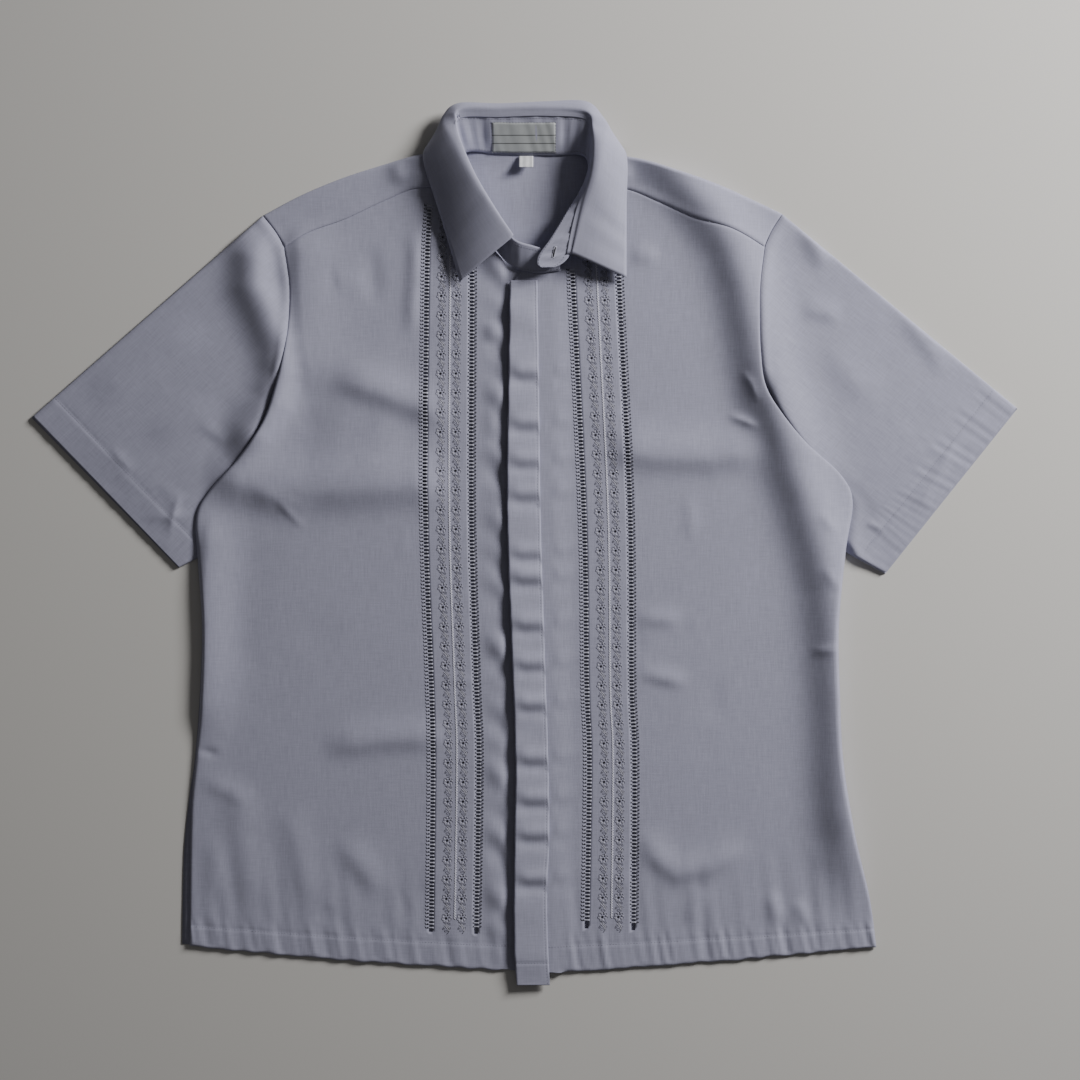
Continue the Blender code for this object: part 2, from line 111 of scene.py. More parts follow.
# Each front from the yoke seam to the hem. rim, lift and reach shape its armhole or side edge: the height
# of the edge, how far the cloth beside it stands up, and how wide the edge's turn is.
RIGHT_FRONT = (
    Edge(-219.6, 271.3, -60, 323, 12, 1.7, 0.0, 2.0),
    Edge(-214.6, 238.4, -47, 298, 7, 1.8, 0.0, 2.0),
    Edge(-214.6, 210.0, -32, 275, 2, 1.9, 0.2, 2.0),
    Edge(-217.3, 181.6, 14, 243, 0, 2.2, 0.6, 2.2),
    Edge(-225.5, 146.9, 17, 196, 0, 2.8, 2.4, 2.8),
    Edge(-238.4, 109.3, 17, 142, 0, 3.6, 3.6, 3.4),
    Edge(-262.0, 76.0, 16, 96, 0, 3.8, 3.8, 3.8),
    Edge(-288.5, 47.0, 16, 54, 0, 3.8, 3.4, 4.0),
    Edge(-299.7, 24.0, 16, 26, 0, 3.4, 3.0, 4.0),
    Edge(-298.6, -13.0, 17, -10, 0, 1.8, 3.2, 4.0),
    Edge(-294.5, -75.0, 19, -72, 0, 0.9, 3.2, 4.0),
    Edge(-296.0, -140.0, 20, -138, 0, 0.9, 2.6, 4.0),
    Edge(-300.6, -198.0, 21, -198, 0, 0.9, 1.2, 4.0),
    Edge(-304.2, -240.0, 22, -246, 0, 1.2, 0.8, 3.0),
    Edge(-305.5, -300.0, 21, -310, 0, 1.3, 1.0, 2.6),
    Edge(-306.0, -367.5, 19, -391, -3, 1.3, 0.8, 2.6),
)
LEFT_FRONT = (
    Edge(219.1, 271.3, 62, 322, 7, 1.7, 0.0, 2.0),
    Edge(214.6, 238.4, 51, 303, 5, 1.8, 0.0, 2.0),
    Edge(213.6, 210.0, 37, 278, 1, 1.9, 0.2, 2.0),
    Edge(214.5, 175.0, -9, 241, 0, 2.2, 0.6, 2.2),
    Edge(219.0, 144.0, -10, 190, 0, 2.6, 1.0, 2.8),
    Edge(234.0, 118.0, -12, 142, 0, 3.4, 1.4, 3.4),
    Edge(257.6, 90.1, -13, 98, 0, 3.6, 1.6, 3.8),
    Edge(288.0, 63.0, -13, 62, 0, 3.6, 1.6, 4.0),
    Edge(299.5, 38.0, -13, 34, 0, 3.4, 1.2, 4.0),
    Edge(293.3, -7.8, -11, -10, 0, 1.8, 0.6, 4.0),
    Edge(287.0, -75.0, -9, -72, 0, 0.9, 0.4, 4.5),
    Edge(288.0, -140.0, -8, -138, 0, 0.9, 0.4, 4.5),
    Edge(291.0, -198.0, -6, -198, 0, 0.9, 0.4, 4.5),
    Edge(301.0, -262.0, -6, -262, 0, 1.2, 1.0, 3.5),
    Edge(315.0, -322.0, -7, -326, 0, 1.3, 0.8, 2.6),
    Edge(321.6, -368.3, -6, -394, -2, 1.3, 0.6, 2.6),
)
# How many of those rows make the armhole, and how far in from the edge its lift spreads
ARMHOLE_ROWS = 9
RIM_SPREAD = 24.0
# How far the front yoke seam swings off its even curve, as (x, swing) pairs, and how far down that reaches
RIGHT_SWING = ((-219.6, 0), (-198, 0.8), (-164, -2.9), (-128, 1.5), (-105, 5.7), (-86, 4.7), (-60, 2))
LEFT_SWING = ((62, 5), (94, 8.2), (122, 3.8), (156, -1.3), (190, 2), (219.1, 0))
SWING_REACH = 60.0
RIGHT_TIP = (-239.0, 299.5)
LEFT_TIP = (235.5, 301.0)
# How full the sleeve is, its gap to the armhole, how far it is tucked under the body, and each cuff's ends
SLEEVE_CROWN = 1.6
SEAM_GAP = 0.25
SLEEVE_TUCK = 6.0
RIGHT_CUFF = Cuff(-449.7, 115.7, -315.2, -21.5)
LEFT_CUFF = Cuff(449.7, 124.0, 328.9, -27.0)
RIGHT_SHOULDER = (RIGHT_TIP, (-205.4, 317.5), (-168.8, 333.0), (-132.2, 345.0), (-95, 355.5), (-66, 357))
LEFT_SHOULDER = (LEFT_TIP, (215.5, 310.7), (178.9, 327.1), (142.3, 339.9), (105.7, 351.5), (66, 357))
BACK_NECK = ((-66, 359), (-44, 358), (-22, 357.5), (0, 357), (22, 357.5), (44, 358), (66, 359))
BACK_SEAM_Y = 255.0
RIGHT_BACK_SIDE = (
    (-298.6, -13), (-295, -75), (-297, -140), (-301.5, -198), (-306.5, -232), (-311.5, -285), (-313, -366),
)
LEFT_BACK_SIDE = (
    (293.3, -7.8), (285.5, -75), (286.5, -140), (289, -198), (298.5, -262), (312.5, -322), (319, -366),
)
BACK_HEM_BOW = -16.0

# The drawn-thread ladders: top, bottom, (x, y) places along the centre line, and the way its outside lies
RIGHT_OUTER = Ladder(
    309, -352, ((-86.5, 309.7), (-89.7, 241), (-91, 30.7), (-85.6, -129.5), (-84.1, -198), (-85.6, -352)), -1
)
RIGHT_INNER = Ladder(
    262, -354, ((-49.5, 290), (-48.4, 236.5), (-49, 30.7), (-44.4, -129.5), (-42.1, -198), (-44.4, -356)), 1
)
LEFT_INNER = Ladder(
    250, -349, ((42, 290), (44.1, 233), (53.9, 24.2), (56.3, -129.5), (58.7, -198), (56.6, -349)), -1
)
LEFT_OUTER = Ladder(
    290, -351, ((84, 300), (86.1, 236.5), (95.9, 30.7), (97.4, -129.5), (100.1, -198), (99.3, -351)), 1
)

# Creases of the top layer: ridges along a path, or troughs where the height is negative. lit and shade are
# the widths on the left and on the right of the path's direction. A lower sharpness makes a pointed crease,
# and fade is the length over which a crease dies out at each end.
FOLDS = (
    Fold(((-204, 300), (-203, 250), (-201, 200), (-190, 130)), 4.2, 30, 12),
    Fold(((-180, 153), (-130, 139), (-92, 124), (-62, 110)), 4.4, 18, 13),
    Fold(((-296, 64), (-240, 54), (-200, 50), (-150, 52), (-64, 57)), 6.4, 28, 19),
    Fold(((-256, 50), (-222, 38), (-190, 26)), 1.6, 8, 15),
    Fold(((-229, 43), (-200, 12)), 1.0, 3.5, 3, 1.5),
    Fold(((-284, 34), (-290, -40), (-293, -110), (-297, -180)), 3.4, 27, 8),
    Fold(((-99, 300), (-100, 240), (-105, 180)), 2.0, 7, 8),
    Fold(((-141, 276), (-137, 212)), -1.3, 9, 10),
    Fold(((-79, 368), (-84, 346), (-84, 316)), 6.0, 16, 27),
    Fold(((-27, 206), (-26, 182)), 2.4, 9, 9),
    Fold(((-28, 130), (-25, 92)), 1.8, 8, 9),
    Fold(((-190, -187), (-130, -178), (-62, -176)), 3.0, 16, 11),
    Fold(((-301, -187), (-276, -194)), -1.2, 3.5, 3.5, 1.6),
    Fold(((-300, -213), (-270, -226), (-244, -241)), 1.3, 10, 8),
    Fold(((-263, -212), (-257, -270), (-247, -338)), 1.5, 15, 14),
    Fold(((-285, -255), (-280, -335)), 1.3, 9, 8),
    Fold(((-218, -232), (-205, -285), (-194, -340)), 1.3, 14, 12),
    Fold(((-172, -264), (-147, -297), (-124, -326)), 2.0, 14, 11),
    Fold(((-250, 20), (-262, -60), (-262, -130)), -1.1, 20, 24),
    Fold(
        (
            (-236, 296), (-246, 262), (-246, 236), (-234, 210), (-223, 182), (-221, 155),
            (-228, 128), (-244, 102), (-270, 74),
        ),
        9.5, 14, 21,
    ),
    Fold(((-200, 120), (-150, 112), (-100, 112)), 2.0, 60, 60),
    Fold(((-262, 140), (-276, 100), (-282, 60)), -1.0, 14, 14),
    Fold(((-326, 3), (-314, 50)), 1.2, 5, 4, 1.6),
    Fold(((-352, 21), (-326, 25), (-298, 24)), 1.1, 6, 5, 1.8),
    Fold(((-380, 88), (-356, 63)), 1.1, 5, 4, 1.6),
    Fold(((-300, 112), (-270, 92)), 0.8, 6, 5),
    Fold(((-402, 128), (-330, 178), (-285, 198)), 1.3, 18, 16),
    Fold(((-352, 92), (-300, 118), (-268, 122)), 1.5, 14, 12),
    Fold(
        (
            (70, 420), (116, 366), (146, 335), (170, 305), (191, 272), (203, 236), (210, 203), (217, 168),
            (226, 136), (237, 104), (254, 53), (268, 8), (280, -40), (285, -90), (289, -150), (291, -210),
            (296, -280), (300, -345),
        ),
        12.0, 27, 25, fade=105,
    ),
    Fold(((66, 88), (120, 81), (170, 79), (226, 88)), 4.6, 22, 14),
    Fold(((183, 118), (200, 112), (216, 105)), 1.8, 4, 4.5, 1.5),
    Fold(((196, 160), (206, 146), (214, 126)), 1.1, 4, 4, 1.6),
    Fold(((98, -69), (148, -69)), 1.7, 9, 7),
    Fold(((100, -117), (154, -129)), 1.9, 9, 6),
    Fold(((103, -254), (120, -286), (139, -301), (171, -294), (209, -272)), 2.7, 13, 10),
    Fold(((94, 264), (126, 262)), 1.5, 8, 8),
    Fold(((150, 52), (153, -4)), 0.8, 7, 7),
    Fold(((266, 32), (286, 6)), 1.3, 4.5, 4.5, 1.6),
    Fold(((270, -18), (289, -46)), 1.1, 4.5, 5, 1.8),
    Fold(((258, -98), (290, -96)), 1.2, 4, 4.5, 1.6),
    Fold(((148, -350), (166, -312)), 1.2, 7, 7),
    Fold(((236, -352), (222, -314)), 1.3, 7, 7),
    Fold(((262, -354), (246, -322)), 1.2, 6, 6),
    Fold(((252, 297), (268, 268), (277, 246)), 3.0, 8, 10),
    Fold(((248, 215), (272, 212), (294, 205)), 1.9, 11, 8),
    Fold(((336, 222), (374, 175), (388, 146)), 1.8, 10, 9),
    Fold(((348, 20), (376, 60), (400, 106)), 1.0, 5, 6, 1.8),
    Fold(((308, 20), (332, 12)), 1.1, 4, 4, 1.6),
    Fold(((268, 190), (300, 150), (330, 120)), 1.4, 16, 14),
    Fold(((-118, 352), (-112, 326)), 1.6, 7, 8),
    Fold(((88, 352), (94, 326)), 1.8, 6, 7),
)
RANDOM_FOLDS = 100
RANDOM_FOLD_AREA = ((-440, 440), (-385, 330))

# The collar stand from the front's right end round to its left end, and the leaf in the same direction
STAND = (
    Station(33, 249, 6.0, 31, 265, 9.5),
    Station(8, 247, 5.2, 9, 270, 15.5),
    Station(-15, 256, 5.2, -11, 277, 21.0),
    Station(-38, 285, 8.2, -26, 301, 24.0),
    Station(-57, 318, 8.6, -45, 333, 26.5),
    Station(-62, 344, 8.2, -59, 366, 23.0),
    Station(-52, 357, 4.6, -61, 389, 15.5),
    Station(-22, 355, 3.2, -22, 391, 14.5),
    Station(22, 354, 3.2, 20, 392, 14.5),
    Station(52, 354, 4.6, 57, 388, 15.5),
    Station(58, 341, 8.2, 62, 364, 22.5),
    Station(50, 320, 10.5, 60, 334, 25.0),
    Station(38, 300, 17.6, 51, 305, 21.0),
    Station(24, 277, 18.0, 45, 279, 18.0),
    Station(14.5, 264, 18.0, 42.5, 265, 16.4),
    Station(11.2, 257, 18.0, 39.5, 259, 16.0),
    Station(11.6, 252.6, 18.0, 34.5, 254, 16.2),
    Station(15.0, 250.2, 17.8, 28, 250.6, 16.8),
)
LEAF = (
    Leaf(-10, 279, 22.4, -13, 275, 22.6, -59, 238.4, 8.2),
    Leaf(-26, 302, 26.4, -30, 300, 26.8, -68, 270, 9.0),
    Leaf(-45, 334, 29.0, -50, 333, 29.4, -80.5, 311, 9.8),
    Leaf(-59, 367, 25.8, -66, 366, 25.6, -91.5, 346, 9.8),
    Leaf(-62, 382, 18.6, -72, 380, 16.5, -90, 361, 7.0),
    Leaf(-63, 391, 18.0, -73, 390, 12.4, -82, 366, 1.6),
    Leaf(-54, 396, 16.6, -60, 400, 11.4, -58, 362, 0.9),
    Leaf(-22, 396, 16.0, -22, 399.5, 11.2, -22, 361, 0.9),
    Leaf(20, 397, 16.0, 21, 401.5, 11.2, 22, 361, 0.9),
    Leaf(50, 395, 16.6, 56, 402, 11.4, 56, 362, 0.9),
    Leaf(61, 389, 18.4, 71, 388, 12.4, 82, 365, 1.6),
    Leaf(64, 379, 19.0, 75, 376, 16.5, 91, 359, 7.0),
    Leaf(64, 364, 25.4, 71, 362, 25.4, 93.8, 344, 9.8),
    Leaf(62, 334, 27.0, 67, 332, 27.0, 93, 312, 9.8),
    Leaf(53, 303, 22.6, 57, 300, 22.2, 92.9, 276, 9.2),
    Leaf(43, 262, 17.6, 46, 261, 17.4, 92.9, 242, 8.4),
)
STAND_BUTTONHOLE = Vector((27, 264, 0))
LEAF_STEP = 0.6
LEAF_INSIDE = 4.0
LEAF_CROWN = 1.6
LEAF_FLAT_ROLL = 9.0

# The placket's free and sewn edges from its top down, and its heights
PLACKET = (
    Strip(240, -12.8, 11.5),
    Strip(130, -14.6, 13.2),
    Strip(22, -15.5, 14.6),
    Strip(-90, -11.5, 18.0),
    Strip(-198, -7.8, 21.5),
    Strip(-268, -8.8, 22.4),
    Strip(-317, -9.2, 20.4),
    Strip(-366, -9.0, 21.2),
    Strip(-403, -6.9, 23.2),
)
PLACKET_SEWN = 5.6
PLACKET_FREE = 8.0
PLACKET_LOW = 4.6
PLACKET_PUCKER = 1.8
PLACKET_WALL = 0.0007
STITCH_INSET = 1.9
# Where puckers cross the placket
PLACKET_BANDS = (154, 108, 74, 43, -10, -33, -75, -111, -148, -198, -235, -267, -308)
# Each button and how far it sits below the middle of its CAD part
BUTTONS = {f"button_{index}": 2.0 for index in range(1, 7)} | {"button_stand": 0.4}
BUTTON_FLATNESS = 0.75
# Woven lines across the neck label, from its lower edge, and how thick the label and the tab are
LABEL_LINES = (8.5, 15.5)
LABEL_WALL = 0.0003
TAB_WALL = 0.0005
# The rosette's loops and the swing of its vine
LOOPS = 7
VINE_SWING = 2.9

# Ends of the embroidery and of the chain stitch between its columns
EMBROIDERY_TOP = {"right": 297.5, "left": 292.9}
EMBROIDERY_BOTTOM = -345
CHAIN_TOP = 268
CHAIN_PITCH = 0.0023

# The stage, in metres: the floor, the soft key light, the sky's fill and the camera straight above
FLOOR_HALF = 3.0
FLOOR_DROP = -0.0002
KEY_SIZE = 0.75
KEY_ENERGY = 80
KEY_COLOUR = (1.0, 0.985, 0.97)
KEY_PLACE = (1.66, 1.22, 0.94)
SKY_COLOUR = (0.98, 0.96, 0.96)
SKY_STRENGTH = 0.085
CAMERA_HEIGHT = 1.9
CAMERA_SPAN = 0.988
CAMERA_OVER = (0.0142, 0.0032)

# Filled by the operators: materials by name, surfaces to lay thread on, and lines to sew along
MATERIALS = {}
SURFACES = {}
SEAMS = {}


# ---------------------------------------------------------------- settings


def length_property(name, description, default):
    return bpy.props.FloatProperty(name=name, description=description, default=default, unit="LENGTH")


def colour_property(name, description, default):
    return bpy.props.FloatVectorProperty(
        name=name, description=description, default=default, size=3, subtype="COLOR", min=0, max=1
    )


class BarongSizes(bpy.types.PropertyGroup):
    cloth: length_property("Cloth", "Thickness of the shirting", 0.00045)
    collar: length_property("Collar", "Thickness of the interlined collar", 0.0007)
    crease: bpy.props.FloatProperty(
        name="Crease depth", description="Height of the creases, as a share of the usual", default=1.0
    )
    weave: length_property("Weave", "Distance between two woven threads", 0.00055)
    ladder: length_property("Ladder width", "Width of the drawn-thread openings", 0.0036)
    rung: length_property("Rung pitch", "Distance between two bundled rungs", 0.0033)
    motif: length_property("Motif pitch", "Distance between two rosettes", 0.0176)
    thread: length_property("Thread", "Radius of the embroidery thread", 0.00027)
    stitch: length_property("Stitch pitch", "Distance between two stitches", 0.0027)


class BarongColours(bpy.types.PropertyGroup):
    cloth: colour_property("Cloth", "Colour of the shirting", (0.35, 0.353, 0.458))
    # Darker than the real thread, which is close to the cloth's colour: painted shade for the relief and the
    # pierced ground of the embroidery and the slanted stitches
    thread: colour_property("Embroidery", "Colour of the embroidery thread", (0.21, 0.21, 0.27))
    stitching: colour_property("Stitching", "Colour of the machine stitches", (0.4, 0.405, 0.49))
    # Lighter than the real thread: painted highlights on the chain stitch and on some of the rosette's loops
    pale: colour_property("Pale thread", "Lighter thread worked through the embroidery", (0.62, 0.62, 0.72))
    # The same thread as the machine stitching, made darker: painted shade along the sewn rows of the hems,
    # cuffs, placket, collar and label
    seam: colour_property("Seam thread", "Thread of the hems and the edge stitching", (0.2, 0.2, 0.26))
    # Near black: painted shade for the inside of the eyelets, the buttonhole's slit and the openings beside
    # the ladders, which are not cut through
    shade: colour_property("Eyelet", "Colour inside a pierced eyelet", (0.012, 0.011, 0.016))
    label: colour_property("Neck label", "Colour of the woven neck label", (0.37, 0.39, 0.4))
    tab: colour_property("Size tab", "Colour of the size tab", (0.62, 0.63, 0.66))
    button: colour_property("Buttons", "Colour of the buttons", (0.5, 0.49, 0.56))
    floor: colour_property("Floor", "Colour of the studio floor", (0.62, 0.61, 0.59))


def sizes():
    return bpy.context.scene.barong_sizes


def colours():
    return bpy.context.scene.barong_colours


# ---------------------------------------------------------------- curves and heights


def smoothed(rows, steps):
    """The rows and steps - 1 more between each pair, on a smooth curve through them all."""
    table = np.array(rows, float)
    padded = np.vstack([2 * table[0] - table[1], table, 2 * table[-1] - table[-2]])
    found = []
    for before, start, end, after in zip(padded, padded[1:], padded[2:], padded[3:]):
        for step in range(steps):
            t = step / steps
            bend = 2 * before - 5 * start + 4 * end - after
            twist = 3 * start - before - 3 * end + after
            found.append(start + (end - before) * t / 2 + bend * t**2 / 2 + twist * t**3 / 2)
    found.append(table[-1])
    return np.array(found)


def ease(share):
    """0 to 1 with a smooth start and end."""
    share = np.clip(share, 0, 1)
    return share * share * (3 - 2 * share)


def bell(distance, width):
    """1 at no distance, dying out smoothly over a width."""
    return np.exp(-((distance / width) ** 2))


def turned(distance, reach):
    """0 at a turned edge and 1 past its reach, round like a quarter of an ellipse."""
    return np.sqrt(1 - (1 - np.clip(distance / reach, 0, 1)) ** 2)


def bowed(start, end, bow, share):
    """Between two values, standing off by a bow in the middle."""
    return start + (end - start) * share + 4 * bow * share * (1 - share)


def path_lengths(points):
    points = np.asarray(points, float)
    return np.concatenate([[0], np.cumsum(np.linalg.norm(np.diff(points, axis=0), axis=1))])


def along(points, shares):
    """Points at these shares of a polyline's length."""
    points = np.asarray(points, float)
    lengths = path_lengths(points)
    at = np.asarray(shares) * lengths[-1]
    return np.stack([np.interp(at, lengths, points[:, axis]) for axis in range(points.shape[1])], axis=-1)


def nearest_on(x, y, path):
    """Distance to a path, the side it is on, and the share of its length at the nearest point."""
    lengths = path_lengths(path)
    best, side, share = np.full(x.shape, 1e9), np.zeros(x.shape), np.zeros(x.shape)
    for index, ((ax, ay), (bx, by)) in enumerate(zip(path, path[1:])):
        dx, dy = bx - ax, by - ay
        t = np.clip(((x - ax) * dx + (y - ay) * dy) / (dx * dx + dy * dy), 0, 1)
        ox, oy = x - ax - t * dx, y - ay - t * dy
        distance = np.hypot(ox, oy)
        closer = distance < best
        best = np.where(closer, distance, best)
        side = np.where(closer, np.sign(dx * oy - dy * ox), side)
        here = (lengths[index] + t * (lengths[index + 1] - lengths[index])) / lengths[-1]
        share = np.where(closer, here, share)
    return best, side, share


def ridge(x, y, fold):
    distance, side, share = nearest_on(x, y, fold.path)
    width = np.where(side > 0, fold.lit, fold.shade)
    length = path_lengths(fold.path)[-1]
    taper = min(fold.fade, 0.42 * length) / length
    ends = ease(share / taper) * ease((1 - share) / taper)
    return fold.height * ends * np.exp(-((distance / width) ** fold.sharpness))


def random_folds():
    """Small uneven creases all over the shirt, mostly across it."""
    chance = np.random.default_rng(SEED)
    (low_x, high_x), (low_y, high_y) = RANDOM_FOLD_AREA
    found = []
    for _ in range(RANDOM_FOLDS):
        x, y = chance.uniform(low_x, high_x), chance.uniform(low_y, high_y)
        turn = chance.normal(0, 0.5) + (chance.random() < 0.25) * math.pi / 2
        reach = chance.uniform(14, 55)
        dx, dy = math.cos(turn) * reach / 2, math.sin(turn) * reach / 2
        sag = chance.uniform(-0.2, 0.2)
        path = ((x - dx, y - dy), (x - dy * sag, y + dx * sag), (x + dx, y + dy))
        width = chance.uniform(6, 18)
        height = chance.uniform(-0.04, 0.045) * width
        found.append(Fold(path, height, width, width * chance.uniform(0.6, 1)))
    return found


CREASES = FOLDS + tuple(random_folds())
NECK_LINE = [(station.base_x, station.base_y) for station in STAND]
NECK_RISES = [min(station.base_z - 3.4, 8.0) for station in STAND[:-4]] + [3.0] * 4
NECK_REACH = 15.0


def wander(at, seed, longest=140.0, terms=7):
    """A smooth uneven wave along a line, between about -1 and 1."""
    chance = np.random.default_rng(seed)
    total = 0
    for term in range(terms):
        length = longest / (1 + term * chance.uniform(0.6, 1.3))
        total = total + chance.uniform(0.4, 1) * np.sin(2 * math.pi * (at / length + chance.random()))
    return total / terms * 1.6


def crease_height(x, y):
    """The height of all the creases together."""
    total = np.zeros(np.shape(x))
    for fold in CREASES:
        xs, ys = zip(*fold.path)
        margin = 2.6 * max(fold.lit, fold.shade)
        near = (x > min(xs) - margin) & (x < max(xs) + margin)
        near &= (y > min(ys) - margin) & (y < max(ys) + margin)
        if near.any():
            total[near] += ridge(x[near], y[near], fold)
    return total * sizes().crease


def neck_height(x, y):
    """How far the cloth beside the neck stands up to meet the collar stand."""
    distance, _, share = nearest_on(x, y, NECK_LINE)
    lengths = path_lengths(NECK_LINE)
    return np.interp(share * lengths[-1], lengths, NECK_RISES) * bell(distance, NECK_REACH)


# ---------------------------------------------------------------- meshes


def piece_collection():
    found = bpy.data.collections.get("barong_pieces")
    if found is None:
        found = bpy.data.collections.new("barong_pieces")
        bpy.context.scene.collection.children.link(found)
    return found


def new_object(name, data, collection=None):
    obj = bpy.data.objects.new(name, data)
    (collection or bpy.context.scene.collection).objects.link(obj)
    return obj


def new_piece(name, mesh):
    return new_object(name, mesh, piece_collection())


def mesh_of(name, shape):
    """The mesh of a bmesh, which is freed."""
    mesh = bpy.data.meshes.new(name)
    shape.to_mesh(mesh)
    shape.free()
    return mesh


def thicken(obj, wall=None):
    solidify = obj.modifiers.new("cloth", "SOLIDIFY")
    solidify.thickness = sizes().cloth if wall is None else wall
    solidify.offset = 0


def grid_object(name, points, material, grain=None, closed=False, skip=None, wall=None):
    """A sheet through a grid of points in millimetres, with a UV map along its grain and a thickness."""
    rows, columns = points.shape[:2]
    index = np.arange(rows * columns).reshape(rows, columns)
    following = np.roll(index, -1, axis=1) if closed else index[:, 1:]
    start = index if closed else index[:, :-1]
    faces = np.stack([start[:-1], following[:-1], following[1:], start[1:]], axis=-1)
    faces = faces[~skip] if skip is not None else faces.reshape(-1, 4)
    mesh = bpy.data.meshes.new(name)
    mesh.from_pydata((points.reshape(-1, 3) * MM).tolist(), [], faces.tolist())
    grain = points[..., :2] if grain is None else grain
    flat = grain.reshape(-1, 2) * MM
    layer = mesh.uv_layers.new(name="grain")
    layer.data.foreach_set("uv", flat[faces.reshape(-1)].ravel())
    tidy = bmesh.new()
    tidy.from_mesh(mesh)
    loose = [vertex for vertex in tidy.verts if not vertex.link_faces]
    bmesh.ops.delete(tidy, geom=loose, context="VERTS")
    tidy.to_mesh(mesh)
    tidy.free()
    mesh.shade_smooth()
    mesh.materials.append(material)
    obj = new_piece(name, mesh)
    thicken(obj, wall)
    return obj


def surface_tree(points):
    """A BVH of a grid, to lay thread on."""
    rows, columns = points.shape[:2]
    index = np.arange(rows * columns).reshape(rows, columns)
    corners = index[:-1, :-1], index[:-1, 1:], index[1:, 1:], index[1:, :-1]
    faces = np.stack(corners, axis=-1).reshape(-1, 4)
    return BVHTree.FromPolygons(points.reshape(-1, 3).tolist(), faces.tolist())


def drape(mesh, tree, lift):
    """Moves a mesh that lies at height zero up onto a surface, keeping its own heights above it."""
    down = Vector((0, 0, -1))
    last = TOP_LAYER
    for vertex in mesh.vertices:
        hit = tree.ray_cast(Vector((vertex.co.x / MM, vertex.co.y / MM, 100)), down)[0]
        last = hit.z if hit is not None else last
        vertex.co.z += (last + lift) * MM


def path_object(name, paths):
    """Loose edges along each path, in millimetres, for a repeat to follow."""
    verts, edges = [], []
    for path in paths:
        path = np.asarray(path, float)
        if path.shape[1] == 2:
            path = np.column_stack([path, np.zeros(len(path))])
        first = len(verts)
        verts += (path * MM).tolist()
        edges += [(first + i, first + i + 1) for i in range(len(path) - 1)]
    mesh = bpy.data.meshes.new(name)
    mesh.from_pydata(verts, edges, [])
    return new_object(name, mesh)


def skin(shape, rings, closed=False):
    """Faces between rings of vertices, with a cap on each end unless the row of rings is closed."""
    sides = len(rings[0])
    faces = []
    for a, b in list(zip(rings, rings[1:])) + ([(rings[-1], rings[0])] if closed else []):
        for k in range(sides):
            faces.append(shape.faces.new((a[k], a[(k + 1) % sides], b[(k + 1) % sides], b[k])))
    if not closed:
        shape.faces.new(rings[0][::-1])
        shape.faces.new(rings[-1])
    return faces


def tube_into(shape, points, radius, sides=5, flat=0.75, closed=False):
    """Adds a thread along points, in millimetres, lying on height zero."""
    points = [np.append(np.asarray(p, float), 0.0)[:3] for p in points]
    rings = []
    count = len(points)
    for i, point in enumerate(points):
        after = points[(i + 1) % count] if closed or i + 1 < count else point
        before = points[i - 1] if closed or i else point
        run = after - before
        run = run / max(np.linalg.norm(run), 1e-9)
        across = np.array([-run[1], run[0], 0])
        ring = []
        for k in range(sides):
            a = 2 * math.pi * k / sides
            spoke = across * math.cos(a) + np.array([0, 0, flat * math.sin(a)])
            ring.append(shape.verts.new((point + spoke * radius) * MM))
        rings.append(ring)
    return skin(shape, rings, closed)


def template(name, shape, materials=(), collection=None):
    """An object of a finished bmesh, for a repeat to copy."""
    bmesh.ops.recalc_face_normals(shape, faces=shape.faces)
    mesh = mesh_of(name, shape)
    mesh.shade_smooth()
    for material in materials:
        mesh.materials.append(material)
    return new_object(name, mesh, collection)


# ---------------------------------------------------------------- repeats by Geometry Nodes


def socket(tree, name, kind, default=None):
    made = tree.interface.new_socket(name=name, in_out="INPUT", socket_type=kind)
    if default is not None:
        made.default_value = default
    return made


